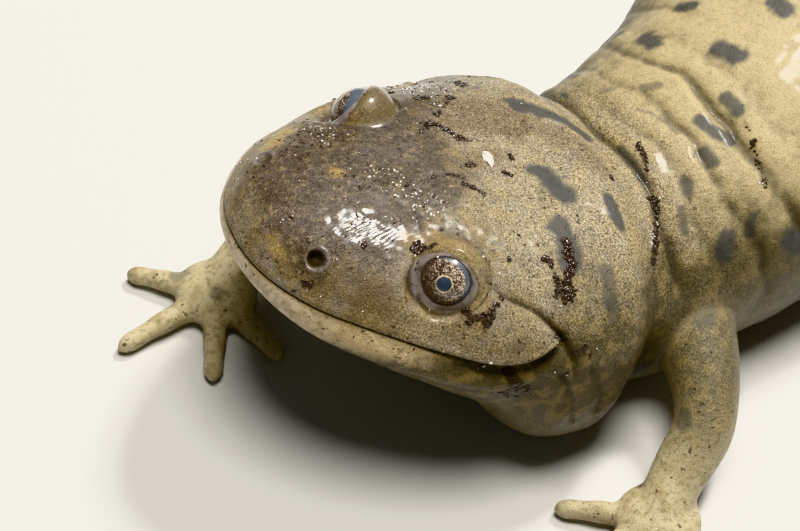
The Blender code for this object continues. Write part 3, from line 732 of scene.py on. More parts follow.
# %% Sizes of the legs
LEGS = {
    "fore_left": {
        "station": 37.0, "side": 1, "sole_heading": 34.0,
        "joints": ((-0.6, 7.0, 8.6), (3.9, 18.8, 6.2), (8.3, 20.6, 3.0), (11.0, 22.4, 1.45)),
    },
    "fore_right": {
        "station": 36.0, "side": -1, "sole_heading": -28.0,
        "joints": ((0.5, 6.0, 9.0), (10.5, 19.9, 4.6), (23.6, 16.4, 2.7), (29.2, 13.5, 1.45)),
    },
    "hind_left": {
        "station": 101.0, "side": 1, "sole_heading": 22.0,
        "joints": ((0.0, 6.0, 8.0), (9.0, 19.0, 8.2), (10.0, 29.6, 3.6), (14.2, 32.6, 1.5)),
    },
    "hind_right": {
        "station": 101.0, "side": -1, "sole_heading": 66.0,
        "joints": ((0.0, 6.0, 8.0), (-5.0, 19.4, 8.0), (-14.4, 25.0, 3.6), (-15.0, 30.2, 1.5)),
    },
}
LIMB_KINDS = {
    "fore": {
        "radii": (3.7, 2.45, 2.05), "names": ("upper_arm", "forearm", "foot"), "sole": (3.3, 3.5, 1.8),
        "digits": ((-74, 7.4), (-32, 7.8), (22, 8.8), (76, 7.0)), "digit_radius": 1.15,
    },
    "hind": {
        "radii": (5.4, 3.8, 2.7), "names": ("thigh", "shank", "foot"), "sole": (3.8, 3.9, 1.9),
        "digits": ((-72, 6.4), (-36, 8.2), (-4, 9.4), (29, 9.2), (64, 7.2)), "digit_radius": 1.2,
    },
}

# %% The path of a leg
def leg_joints(leg):
    """The joints in the body's frame, from offsets on the ground beside the leg's root."""
    point, forward, _, _ = SPINE.at(np.array(leg["station"]))
    ahead = np.array([forward[0], forward[1], 0.0])
    ahead /= np.linalg.norm(ahead)
    outward = np.array([-ahead[1], ahead[0], 0.0]) * leg["side"]
    ground = np.array([point[0], point[1], 0.0])
    joints = [ground + ahead * f + outward * o + np.array([0, 0, h]) for f, o, h in leg["joints"]]
    return joints, ahead, outward


CORNER_CUT = 0.42
CORNER_STEPS = 10


def rounded_path(corners):
    """A smooth path that cuts the corners of a line through the joints."""
    points = [corners[0]]
    for a, b, c in zip(corners, corners[1:], corners[2:]):
        start, end = b + (a - b) * CORNER_CUT, b + (c - b) * CORNER_CUT
        for t in np.linspace(0, 1, CORNER_STEPS):
            points.append(start * (1 - t) ** 2 + b * 2 * t * (1 - t) + end * t**2)
    return np.array(points + [corners[-1]])


def resample(points, count):
    """Evenly spaced points of a path, and how far along it each lies."""
    run = np.concatenate([[0], np.cumsum(np.linalg.norm(np.diff(points, axis=0), axis=1))])
    at = np.linspace(0, run[-1], count)
    return np.stack([np.interp(at, run, points[:, k]) for k in range(3)], -1), at


def tube(points, radii, sides):
    """Points and faces of a closed tube round a path."""
    turn = np.linspace(0, 2 * math.pi, sides, endpoint=False)[:, None]
    rings = []
    for point, way, radius in zip(points, np.gradient(points, axis=0), radii):
        side = np.cross([0.0, 0.0, 1.0], way)
        side /= np.linalg.norm(side)
        up = np.cross(way, side)
        up /= np.linalg.norm(up)
        rings.append(point + (side * np.cos(turn) + up * np.sin(turn)) * radius)
    return join_rings(rings, points[0], points[-1])


print("joints of a leg, with the root:", len(leg_joints(LEGS["fore_left"])[0]))

# %% Digits, soles and whole legs
DIGIT_STEPS = 30
DIGIT_SIDES = 16
SOLE_RINGS = 20
SOLE_SIDES = 32
LEG_STEPS = 60
LEG_SIDES = 28


def digit(root, way, length, radius):
    """One finger or toe: tapering, a little swollen at its joint, with a round tip."""
    t = np.linspace(0, 1, DIGIT_STEPS)
    points = root + np.outer(t * length, way)
    taper = 1 - 0.42 * t + 0.08 * bump((t - 0.5) / 0.1) + 0.12 * bump((t - 0.84) / 0.1)
    tip = np.sqrt(np.clip(1 - (np.clip(t - 0.86, 0, 1) / 0.14) ** 2, 0.004, 1))
    points[:, 2] = radius * (0.9 - 0.3 * t) + 0.35 * np.sin(math.pi * t)
    return tube(points, 0.97 * radius * taper * tip, DIGIT_SIDES)


def sole_ball(centre, way, across, sizes):
    """A flattened ball for the palm or the sole."""
    long, wide, thick = sizes
    around = np.linspace(0, 2 * math.pi, SOLE_SIDES, endpoint=False)
    rings = [
        centre + np.outer(np.cos(around) * math.sin(t) * long, way)
        + np.outer(np.sin(around) * math.sin(t) * wide, across)
        + np.array([0, 0, math.cos(t) * thick])
        for t in np.linspace(0, math.pi, SOLE_RINGS + 2)[1:-1]
    ]
    upright = np.array([0, 0, thick])
    return join_rings(rings, centre + upright, centre - upright)


def leg_pieces(name, leg):
    """The tube, the sole and the digits of one leg."""
    kind = LIMB_KINDS[name.split("_")[0]]
    joints, ahead, outward = leg_joints(leg)
    path, run = resample(rounded_path(joints), LEG_STEPS)
    elbow = run[np.argmin(np.linalg.norm(path - joints[1], axis=1))]
    wrist = run[np.argmin(np.linalg.norm(path - joints[2], axis=1))]
    root_radius, middle_radius, end_radius = kind["radii"]
    marks = ((0, root_radius), (elbow, middle_radius), (wrist, end_radius), (run[-1], end_radius))
    radii = curve(marks, run) + 0.3 * bump((run - elbow * 0.5) / 4) + 0.25 * bump((run - elbow - 4) / 3)
    pieces = [tube(path, radii, LEG_SIDES)]
    heading = math.radians(leg["sole_heading"])
    way = ahead * math.cos(heading) + outward * math.sin(heading)
    across = np.cross([0, 0, 1.0], way) * leg["side"]
    pieces.append(sole_ball(joints[3], way, across, kind["sole"]))
    for spread_angle, length in kind["digits"]:
        turn = math.radians(spread_angle)
        direction = way * math.cos(turn) + across * math.sin(turn)
        root = np.array([joints[3][0], joints[3][1], 0.0]) + direction * 0.9
        pieces.append(digit(root, direction, length, kind["digit_radius"]))
    return pieces


pieces = [piece for name, leg in LEGS.items() for piece in leg_pieces(name, leg)]
print("tubes and balls in the legs:", len(pieces))

# %% Melt the legs into one soft volume
LEG_VOXEL = 0.24


def join_pieces(pieces):
    """Points and faces of several pieces as one list of each."""
    points, faces, start = [], [], 0
    for p, f in pieces:
        points.append(p)
        faces += [tuple(i + start for i in face) for face in f]
        start += len(p)
    return np.concatenate(points), faces


def outward_faces(thing):
    """Turn every face so that its front looks outward."""
    bm = bmesh.new()
    bm.from_mesh(thing.data)
    bmesh.ops.recalc_face_normals(bm, faces=bm.faces)
    bm.to_mesh(thing.data)
    bm.free()


def with_modifier(thing, kind, settings):
    """The mesh as a modifier leaves it."""
    modifier = thing.modifiers.new("step", kind)
    for key, value in settings.items():
        setattr(modifier, key, value)
    graph = bpy.context.evaluated_depsgraph_get()
    mesh = bpy.data.meshes.new_from_object(thing.evaluated_get(graph))
    thing.modifiers.clear()
    thing.data = mesh


legs = new_object("legs", *join_pieces(pieces))
outward_faces(legs)
with_modifier(legs, "REMESH", {"mode": "VOXEL", "voxel_size": LEG_VOXEL})
print("leg points after remeshing:", len(legs.data.vertices))

# %% Smoothing points towards their neighbours
def read_points(mesh):
    """The points of a mesh, as rows of x, y and z."""
    flat = np.empty(len(mesh.vertices) * 3)
    mesh.vertices.foreach_get("co", flat)
    return flat.reshape(-1, 3)


def write_points(mesh, points):
    """Move the points of a mesh to new places."""
    mesh.vertices.foreach_set("co", np.ascontiguousarray(points).ravel())
    mesh.update()


def read_edges(mesh):
    """The two points of each edge."""
    flat = np.empty(len(mesh.edges) * 2, int)
    mesh.edges.foreach_get("vertices", flat)
    return flat.reshape(-1, 2)


def smooth(points, edges, weight, rounds):
    """Move each point by its weight towards the mean of its neighbours, several times."""
    a, b = edges.T
    count = len(points)
    links = np.maximum(np.bincount(a, minlength=count) + np.bincount(b, minlength=count), 1)
    for _ in range(rounds):
        total = np.stack(
            [np.bincount(a, points[b, k], count) + np.bincount(b, points[a, k], count) for k in range(3)], 1
        )
        points = points + (total / links[:, None] - points) * weight[:, None]
    return points


leg_points = read_points(legs.data)
half = np.full(len(leg_points), 0.5)
leg_points = smooth(leg_points, read_edges(legs.data), half, 8)
leg_points[:, 2] = np.maximum(leg_points[:, 2], 0.0)
write_points(legs.data, leg_points)
print("legs smoothed")

# %% [markdown]
# Now the legs are joined to the body. A Boolean union makes the shared surface exact, but its edge
# is a sharp crease all round each root. Real skin runs over the joint in a curve, so the points
# close to that crease are relaxed towards their neighbours, which spreads it over a millimetre or
# two. The two materials mark which faces came from the legs.

# %% One skin
outward_faces(skin)
for label in ("from_body", "from_legs"):
    marker = bpy.data.materials.new(label)
    skin.data.materials.append(marker)
    legs.data.materials.append(marker)
legs.data.polygons.foreach_set("material_index", np.ones(len(legs.data.polygons), dtype=np.int32))
with_modifier(skin, "BOOLEAN", {"operation": "UNION", "solver": "MANIFOLD", "object": legs})
bpy.data.objects.remove(legs, do_unlink=True)
print("points in the joined skin:", len(skin.data.vertices))

# %% Relax the roots of the legs
ROOT_REACH = 2.2
RELAX_ROUNDS = 60
LEG_REACH = 24


def origin_of_points(mesh):
    """For each point, whether a face of the body and whether a face of the legs meets it."""
    count = len(mesh.vertices)
    material = np.empty(len(mesh.polygons), np.int32)
    mesh.polygons.foreach_get("material_index", material)
    totals = np.empty(len(mesh.polygons), np.int32)
    mesh.polygons.foreach_get("loop_total", totals)
    corner = np.empty(len(mesh.loops), np.int32)
    mesh.loops.foreach_get("vertex_index", corner)
    from_legs = np.repeat(material, totals) == 1
    legs_here = np.bincount(corner, from_legs, count) > 0
    body_here = np.bincount(corner, ~from_legs, count) > 0
    return body_here, legs_here


body_here, legs_here = origin_of_points(skin.data)
points = read_points(skin.data)
seam = points[body_here & legs_here]
tree = kdtree.KDTree(len(seam))
for i, p in enumerate(seam):
    tree.insert(p, i)
tree.balance()
to_seam = np.full(len(points), 99.0)
near_legs = np.zeros(len(points), bool)
for leg in LEGS.values():
    root = leg_joints(leg)[0][0]
    near_legs |= np.linalg.norm(points - root, axis=1) < LEG_REACH
for i in np.nonzero(near_legs)[0]:
    to_seam[i] = tree.find(points[i])[2]
weight = 0.5 * bump(to_seam / ROOT_REACH)
points = smooth(points, read_edges(skin.data), weight, RELAX_ROUNDS)
box_low, box_high = (np.array(corner) / MM - ORIGIN for corner in cad_box)
points = np.clip(points, box_low, box_high)
write_points(skin.data, points)
print("seam points relaxed:", len(seam))

# %% [markdown]
# Colour on this animal follows the body: the top of the head is dark, the sides olive, the back
# straw yellow, with slate grey spots. To paint by place, every point of the joined skin needs its
# station along the spine and its angle round it. Each point is matched to the nearest part of the
# spine, and the match is refined three times.

# %% Find each point's place on the body
BATCH = 40000
COARSE_STEP = 6
MATCH_ROUNDS = 3
LEG_BLEND = 3.0


def body_place(points):
    """The station of each point, and its distances to the left of the spine and over it."""
    coarse = np.arange(0, len(SPINE.station), COARSE_STEP)
    centre = SPINE.point[coarse]
    station = np.empty(len(points))
    for first in range(0, len(points), BATCH):
        part = points[first:first + BATCH]
        d = ((part[:, None, :] - centre[None]) ** 2).sum(-1)
        station[first:first + BATCH] = SPINE.station[coarse[d.argmin(1)]]
    for _ in range(MATCH_ROUNDS):
        centre, forward, left, up = SPINE.at(station)
        station = np.clip(station - np.sum((points - centre) * forward, axis=1), 0, LENGTH)
    centre, forward, left, up = SPINE.at(station)
    away = points - centre
    return station, np.sum(away * left, axis=1), np.sum(away * up, axis=1)


station, across, height = body_place(points)
turn = np.degrees(np.arctan2(height, across))
head_place = (points - HEAD_POINT) @ HEAD_AXES.T
past_seam = np.where(legs_here, to_seam, -np.where(body_here, to_seam, 0))
leg_share = smoothstep(past_seam / LEG_BLEND + 0.5)
print("points on the legs:", int(legs_here.sum()))

# %% Hollows of the skin
FINE_ROUNDS = 6
WIDE_ROUNDS = 60


def read_normals(mesh):
    """The outward direction at each point."""
    flat = np.empty(len(mesh.vertices) * 3)
    mesh.vertex_normals.foreach_get("vector", flat)
    return flat.reshape(-1, 3)


def hollows(mesh, points, normal, rounds):
    """How far each point lies under the mean of its surroundings, in millimetres."""
    mean = smooth(points, read_edges(mesh), np.ones(len(points)), rounds)
    return np.sum((mean - points) * normal, axis=1)


normal = read_normals(skin.data)
fine_hollow = hollows(skin.data, points, normal, FINE_ROUNDS)
wide_hollow = hollows(skin.data, points, normal, WIDE_ROUNDS)
print("deepest hollow, mm:", round(float(wide_hollow.max()), 2))

# %% [markdown]
# The spots are soft-edged patches, longer than wide, that sit on the back and flanks. Those that the
# camera sees are placed one by one, with their length, width and slant. The rest of the animal has
# spots of the same kind from a seeded draw, kept apart from each other as the real ones are. Smears
# of mud, lines of pale grit and painted glints, yellowish tints and brown stains are laid in the same
# way, each from a list of its own. A painted image would be quicker, but it would not bend with the
# shape.

# %% Lists of patches
# Each is a line of (station, angle round the body) places, its half width and its strength
SPOTS = (
    (((25.2, 112), (26.6, 108), (29.1, 104), (31.6, 98)), 0.85, 0.95),
    (((23.4, 88), (24.0, 84), (24.4, 79)), 1.0, 1.0),
    (((22.5, 69), (22.7, 64), (22.5, 57)), 0.95, 0.9), (((28.5, 74), (28.5, 65)), 0.75, 1.0),
    (((25.6, 52), (25.7, 36)), 0.65, 0.6), (((17.2, 22), (17.9, 24)), 0.35, 0.3),
    (((46.0, 125), (45.8, 120)), 1.0, 1.0), (((50.2, 123), (50.6, 119)), 0.7, 1.0),
    (((54.1, 96), (53.9, 92)), 0.9, 1.0), (((48.2, 99), (48.5, 91)), 0.75, 1.0),
    (((38.7, 116), (39.6, 114)), 0.4, 0.4), (((41.5, 106), (42.6, 102)), 0.4, 0.6),
    (((39.6, 99), (40.2, 95), (40.7, 88), (40.6, 84)), 0.18, 0.5),
    (((45.4, 84), (45.4, 77)), 0.6, 0.95), (((42.7, 83), (42.8, 79), (43.4, 71)), 0.6, 0.95),
    (((41.3, 73), (41.4, 68)), 0.55, 0.9), (((38.7, 67), (38.4, 63)), 0.55, 0.75),
    (((37.0, 59), (36.5, 51)), 0.45, 0.7), (((35.6, 90), (35.6, 84), (35.5, 75)), 0.45, 0.8),
    (((39.3, 40), (38.6, 34)), 0.65, 0.9), (((41.7, 43), (41.0, 37)), 0.35, 0.75),
    (((43.4, 26), (43.6, 22)), 0.85, 0.95),
)
MUD = (
    (((13.6, 32), (14.3, 33), (15.1, 35)), 0.30, 0.8), (((22.6, 64), (22.5, 57), (22.1, 50)), 0.26, 0.8),
    (((20.6, 56), (21.1, 51), (21.3, 46)), 0.24, 0.8), (((21.3, 46), (22.2, 44)), 0.30, 0.7),
    (((22.4, 133), (22.6, 128)), 0.34, 0.8), (((20.1, 120), (18.8, 116), (17.8, 113)), 0.16, 0.7),
    (((17.9, 125), (18.5, 125)), 0.16, 0.6), (((15.4, 106), (16.5, 109)), 0.20, 0.7),
    (((17.1, 108), (17.6, 105), (18.1, 102), (19.1, 100)), 0.22, 0.7),
    (((20.5, 88), (20.7, 87)), 0.20, 1.0),
    (((21.7, 93), (21.8, 92)), 0.14, 0.9), (((17.4, 91), (18.2, 91)), 0.30, 0.5),
    (((14.4, 89), (15.7, 89), (16.6, 87)), 0.13, 0.6), (((16.4, 85), (17.7, 81)), 0.14, 0.6),
    (((12.8, 89), (11.9, 87)), 0.14, 0.6), (((16.6, 56), (17.6, 56)), 0.13, 0.7),
    (((10.6, 60), (11.0, 63)), 0.26, 0.8), (((6.8, 59), (7.0, 60)), 0.16, 0.8),
    (((2.9, 23), (3.1, 24)), 0.12, 0.8), (((30.9, 79), (31.0, 77)), 0.24, 0.9),
    (((35.2, 68), (35.1, 63), (34.4, 58), (33.7, 54)), 0.26, 0.9),
    (((33.7, 54), (32.1, 44)), 0.22, 0.8),
    (((37.3, 88), (36.8, 82), (36.3, 78)), 0.18, 0.7), (((18.1, 1), (19.2, -3)), 0.5, 0.8),
    (((45.8, 78), (45.1, 71), (44.4, 63), (43.6, 50)), 0.18, 0.5),
    (((20.7, 28), (21.8, 23), (23.8, 22)), 0.30, 0.5),
)
# Pale grains: partly grit, and partly painted glints, white specks where water shines
GRIT_AND_GLINTS = (
    (((17.1, 107), (17.6, 104), (18.1, 101)), 0.20, 1.0), (((8.2, 114), (8.4, 115)), 0.35, 0.25),
    (((8.1, 128), (8.3, 128)), 0.3, 0.2), (((12.2, 87), (12.8, 89)), 0.3, 0.3),
    (((34.6, 58), (33.7, 55), (32.1, 49)), 0.20, 0.9), (((36.1, 78), (35.0, 70), (35.6, 66)), 0.18, 0.7),
    (((45.4, 64), (44.8, 56), (43.2, 52), (44.0, 39)), 0.20, 0.5),
)
TINT = (
    (((5.2, 143), (6.8, 145)), 0.7, 0.9), (((7.2, 98), (7.3, 96)), 0.5, 0.8),
    (((1.2, 62), (1.4, 50)), 0.5, 0.5), (((4.4, 146), (4.8, 143)), 0.5, 0.7),
    (((10.3, 64), (12.4, 66)), 0.6, 0.5),
)
STAIN = (
    (((20.0, 108), (23.8, 104)), 2.3, 0.80), (((25.7, 101), (28.2, 92), (30.0, 85)), 1.5, 0.65),
    (((18.4, 92), (20.4, 94)), 1.3, 0.6), (((3.9, 32), (5.5, 32), (7.8, 30)), 1.0, 0.6),
)
print("placed spots and smears:", len(SPOTS), len(MUD))

# %% Draw more spots, and lay patches on the body
MORE_SPOTS = 150
SPOT_TRIES = 9000
SPOT_GAP = 3.1


def around_scale(station):
    """Millimetres round the body for each degree."""
    width, above, _ = section_sizes(station)
    return np.radians(1) * (width + above) / 2


def round_spots():
    """The placed spots, and others drawn at random where those leave room."""
    draw = np.random.default_rng(11)
    spots = list(SPOTS)
    middles = [np.mean(line, axis=0) for line, _, _ in SPOTS]
    tries = 0
    while len(spots) < len(SPOTS) + MORE_SPOTS and tries < SPOT_TRIES:
        tries += 1
        s = draw.uniform(30, 222)
        around = draw.uniform(-14, 194)
        if s < 56 and -5 < around < 125:
            continue
        scale = around_scale(s)
        size = draw.uniform(0.9, 1.9) * (0.75 + 0.25 * math.sin(s / 9))
        if min(math.hypot(s - m[0], (around - m[1]) * scale) for m in middles) < SPOT_GAP + size:
            continue
        slant = draw.uniform(-0.5, 0.8)
        half = np.array([math.sin(slant) * size * 0.7, math.cos(slant) * size * 0.7 / scale])
        middle = np.array([s, around])
        middles.append(middle)
        spots.append(((tuple(middle - half), tuple(middle + half)), size * 0.62, draw.uniform(0.7, 1)))
    return spots


def patch_mask(patches, station, turn, shake, soft):
    """How strongly each point is covered by patches drawn along short lines on the body."""
    mask = np.zeros(len(station))
    for line, half_width, strength in patches:
        line = np.array(line, float)
        y, z = section(line[:, 0], np.radians(line[:, 1]))
        line[:, 1] = np.degrees(np.unwrap(np.arctan2(z, y)))
        middle = line.mean(0)
        scale = float(around_scale(middle[0]))
        close = np.nonzero(np.abs(station - middle[0]) < 8)[0]
        line = (line - middle) * [1, scale]
        away = ((turn[close] - middle[1] + 180) % 360 - 180) * scale
        distance, _ = line_distance(line, station[close] - middle[0], away)
        d = distance / half_width + shake[close]
        mask[close] = np.maximum(mask[close], strength * smoothstep((1 + soft / 2 - d) / soft))
    return mask


shake = 0.20 * noise(points, 0.9) + 0.14 * noise(points + 9, 0.35)
spots = patch_mask(round_spots(), station, turn, 1.4 * shake, 0.75) * (1 - leg_share)
mud = patch_mask(MUD, station, turn, 7.0 * shake, 1.3)
grit_and_glint_lines = patch_mask(GRIT_AND_GLINTS, station, turn, 4.0 * shake, 0.6)
tint = patch_mask(TINT, station, turn, 2.5 * shake, 1.2)
stain = patch_mask(STAIN, station, turn, 2.0 * shake, 1.0)
print("points under mud:", int((mud > 0.5).sum()))

# %% Spots of the legs
LEG_SPOTS = 30
LEG_SPOT_GAP = 4.0
LEG_SPOT_STRENGTH = 0.55
leg_indices = np.nonzero(legs_here)[0]
draw = np.random.default_rng(5)
chosen = []
while len(chosen) < LEG_SPOTS:
    p = points[draw.choice(leg_indices)]
    if p[2] > 1.6 and all(np.linalg.norm(p - q) > LEG_SPOT_GAP for q, _ in chosen):
        chosen.append((p, draw.uniform(0.7, 1.3)))
for p, size in chosen:
    d = np.linalg.norm(points - p, axis=1) / size + 0.45 * noise(points, 1.0)
    spots = np.maximum(spots, LEG_SPOT_STRENGTH * smoothstep((1.3 - d) / 0.8) * leg_share)
print("share of the skin under spots:", round(float((spots > 0.5).mean()), 3))

# %% [markdown]
# The dark cap starts at the snout, covers the top of the head and ends in a ragged edge between and
# behind the eyes. It keeps off the lips and the lids. Its edge is a smooth rule in the head's own
# directions, shaken by noise, so it fades and breaks up like pigment does. Behind it the head turns
# from dark olive to a pale ochre, and the back of the trunk is paler still. Every mask is worked out
# once for each point and is then stored on the mesh, where the material can read it.

# %% The dark cap and the pale back of the head
CAP_BACK = (
    (-14, 26), (-10, 23), (-7.5, 19.5), (-5, 16.8), (-2, 17.0), (1.5, 17.8), (3.2, 14.0),
    (4.6, 11.6), (7, 9.4), (9, 7.4), (11, 5.5),
)
CAP_EDGE = 2.4
PALE_FROM = 14.0
NAPE_FROM = 24
BACK_FROM = 33
front, left_side, up_side = -head_place[:, 0], head_place[:, 1], head_place[:, 2]
shake = 1.3 * noise(points, 2.4) + 0.9 * noise(points, 0.9) + 0.6 * noise(points, 0.35)
cap_low = 3.0 + 0.09 * front - 1.1 * smoothstep((7 - front) / 5)
cap = smoothstep((curve(CAP_BACK, left_side) - front + shake) / CAP_EDGE + 0.5)
cap = cap * smoothstep((up_side - cap_low + 0.6 * shake) / 2.2 + 0.4) * (station < 30)
pale = smoothstep((front - PALE_FROM + 0.9 * shake) / 6.5)
pale = pale * (0.45 + 0.55 * smoothstep((up_side - 2.5) / 4.0))
lip_side = smoothstep((front - 7.0) / 4) * smoothstep((4.2 - up_side + 0.5 * shake) / 2.4)
pale = np.maximum(pale, 0.55 * lip_side * (front < 30))
nape = smoothstep((station - NAPE_FROM) / 7)
back = smoothstep((station - BACK_FROM) / 12)
print("share under the cap:", round(float((cap > 0.5).mean()), 3))

# %% Lids, their lining and the nostrils
NEAR_EYE = 4.5
LID_OUTSIDE = 3.25
LINING_SOFT = 0.16
PIT_EDGE = 0.80
lids, lining, lid_crease_shade, pit_shade, rim_highlight = (np.zeros(len(points)) for _ in range(5))
for side in (1, -1):
    gaze, back_way, up_way = gaze_axes(side)
    away = points - in_head(mirrored(EYE_CENTRE, side))
    depth = away @ gaze
    ring = np.linalg.norm(away - depth[:, None] * gaze, axis=1)
    distance = np.linalg.norm(away, axis=1)
    here = distance < NEAR_EYE
    lids = np.maximum(lids, here * smoothstep((LID_OUTSIDE - distance) / 0.4))
    seen = np.degrees(np.arctan2(away @ up_way, away @ back_way))
    edge = curve(LINING_EDGE, seen)
    inside = smoothstep((edge - ring) / LINING_SOFT + 0.4)
    lining = np.maximum(lining, here * (depth > 0) * inside)
    low = smoothstep(-np.sin(np.radians(seen)) + 0.5)
    # Painted shade: a dark line in the fold round the lid's lining, strongest at the bottom
    line = bump((ring - edge - 0.04) / 0.07) * (0.15 + 0.75 * low)
    lid_crease_shade = np.maximum(lid_crease_shade, here * (depth > 0) * line)
    reach = np.linalg.norm(points - in_head(mirrored(NOSTRIL, side)), axis=1)
    # Painted shade inside each nostril's pit
    pit_shade = np.maximum(pit_shade, smoothstep((PIT_EDGE - reach) / 0.30))
    # A painted highlight: the lit rim round each nostril is painted pale lilac
    rim_highlight = np.maximum(rim_highlight, bump((reach - RIM_RADIUS) / 0.14))
print("points in the nostrils:", int((pit_shade > 0.5).sum()))

# %% [markdown]
# The mouth line is only a fine groove, so its shadow is painted along it as a dark line. The throat,
# the jaw muscle and the sides of the neck are darkened with a painted shade of deep olive, and the
# front of the lower lip is the palest skin of the head. Hollows are darkened a little everywhere:
# painted shade, and the mud and water that gather there.

# %% The mouth's painted shadow, the painted shade on the sides, and the darkened hollows
JAW_END = 27
MUSCLE_FROM = 19.5
MUSCLE_TOP = 9.4
SIDE_FROM = 28
SIDE_TO = 60
SIDE_TOP = 9.5
FINE_DEPTH = 0.05
WIDE_DEPTH = 0.25
lip_line = up_side - curve(MOUTH_LINE, front)
# Painted shadow in the mouth's groove, and in the lid's fold
crease_shade = bump(lip_line / (0.09 + 0.05 * smoothstep((front - 8) / 8)))
crease_shade = crease_shade * (front > -0.5) * (front < MOUTH_END + 0.3) * (np.abs(up_side) < 6)
crease_shade = np.maximum(crease_shade, lid_crease_shade * 0.9)
lower_jaw = smoothstep(-lip_line / 0.5 + 0.3) * smoothstep((JAW_END - front) / 4)
lip_front = smoothstep((6.5 - front) / 5) * lower_jaw
jaw_edge = 0.34 * np.maximum(front - 4.0, 0) - 1.7
# Painted shade: the back of the lower jaw under the overhanging lip, the jaw muscle and the neck sides
jaw_shade = lower_jaw * smoothstep((jaw_edge - up_side + 0.3 * shake) / 1.3)
muscle = smoothstep((front - MUSCLE_FROM + 0.5 * shake) / 4)
muscle = muscle * smoothstep((MUSCLE_TOP - up_side + 0.8 * shake) / 4.4)
side_shade = smoothstep((station - SIDE_FROM) / 5) * smoothstep((SIDE_TOP - height + shake) / 5)
side_shade = side_shade * (1 - smoothstep((station - SIDE_TO) / 20))
shade = np.clip(jaw_shade + muscle + side_shade, 0, 1) * (1 - 0.8 * leg_share)
# Painted shade: the upper legs are darkened, as if in the body's shadow
upper_leg_shade = leg_share * smoothstep((points[:, 2] - 4.0) / 4.5)
belly = smoothstep((-height - 1.0) / np.maximum(curve(BOTTOM, station), 1) * 1.6)
belly = belly * smoothstep((station - 6) / 4) * (1 - leg_share)
# Painted shade and dirt: points that lie in hollows are darkened
dark = np.clip(fine_hollow / FINE_DEPTH, 0, 1) * 0.5 + np.clip(wide_hollow / WIDE_DEPTH, 0, 1) * 0.7
hollow = np.clip(dark, 0, 1) * (1 - 0.85 * lids)
print("share in shade:", round(float((shade > 0.5).mean()), 3))

# %% Store them on the skin
def store(mesh, name, values):
    """Keep one value for each point under a name."""
    layer = mesh.attributes.new(name, "FLOAT", "POINT")
    layer.data.foreach_set("value", np.ascontiguousarray(values, dtype=np.float32))


LAYERS = {
    "spots": spots, "cap": cap, "lids": lids, "lining": lining, "pit_shade": pit_shade, "crease_shade": crease_shade,
    "lower_jaw": lower_jaw, "belly": belly, "back": back, "legs": leg_share, "mud": mud,
    "pale": pale, "hollow": hollow, "nape": nape, "shade": shade, "upper_leg_shade": upper_leg_shade,
    "lip_front": lip_front, "tint": tint, "stain": stain, "rim_highlight": rim_highlight,
}
for name, values in LAYERS.items():
    store(skin.data, name, values)
skin.data.transform(Matrix.Translation(Vector(ORIGIN)))
skin.data.transform(Matrix.Scale(MM, 4))
skin.data.materials.clear()
skin.data.polygons.foreach_set("material_index", np.zeros(len(skin.data.polygons), dtype=np.int32))
skin.data.shade_smooth()
print("layers:", ", ".join(LAYERS))

# %% [markdown]
# Materials are sums of masks and noise. Writing them with plain operators keeps them readable, so a
# small class wraps a socket: adding, subtracting or multiplying two of them makes the Math node and
# returns its result. Colours go through Mix nodes, because a Math node would turn them grey. Every
# node comes from one method, which sets the node up and fills or links its sockets.

# %% A shader socket that can be used in sums
class Socket:
    """One output of a node, with the operators of ordinary sums."""

    def __init__(self, paint, output):
        self.paint, self.output = paint, output

    def math(self, operation, *values):
        """A Math node on numbers and sockets."""
        return self.paint.node("ShaderNodeMath", {"operation": operation}, dict(enumerate(values)))

    def __add__(self, other):
        return self.math("ADD", self, other)

    def __radd__(self, other):
        return self.math("ADD", other, self)

    def __sub__(self, other):
        return self.math("SUBTRACT", self, other)

    def __rsub__(self, other):
        return self.math("SUBTRACT", other, self)

    def __mul__(self, other):
        return self.math("MULTIPLY", self, other)

    def __rmul__(self, other):
        return self.math("MULTIPLY", other, self)

    def root(self):
        """The square root."""
        return self.math("SQRT", self)

    def size(self):
        """The value without its sign."""
        return self.math("ABSOLUTE", self)

    def most(self, other):
        """The greater of the two."""
        return self.math("MAXIMUM", self, other)

    def above(self, edge, soft):
        """0 below the edge and 1 above it, with a soft step of that width."""
        ends = {0: self, 1: edge - soft / 2, 2: edge + soft / 2}
        return self.paint.node("ShaderNodeMapRange", {"interpolation_type": "SMOOTHSTEP"}, ends)


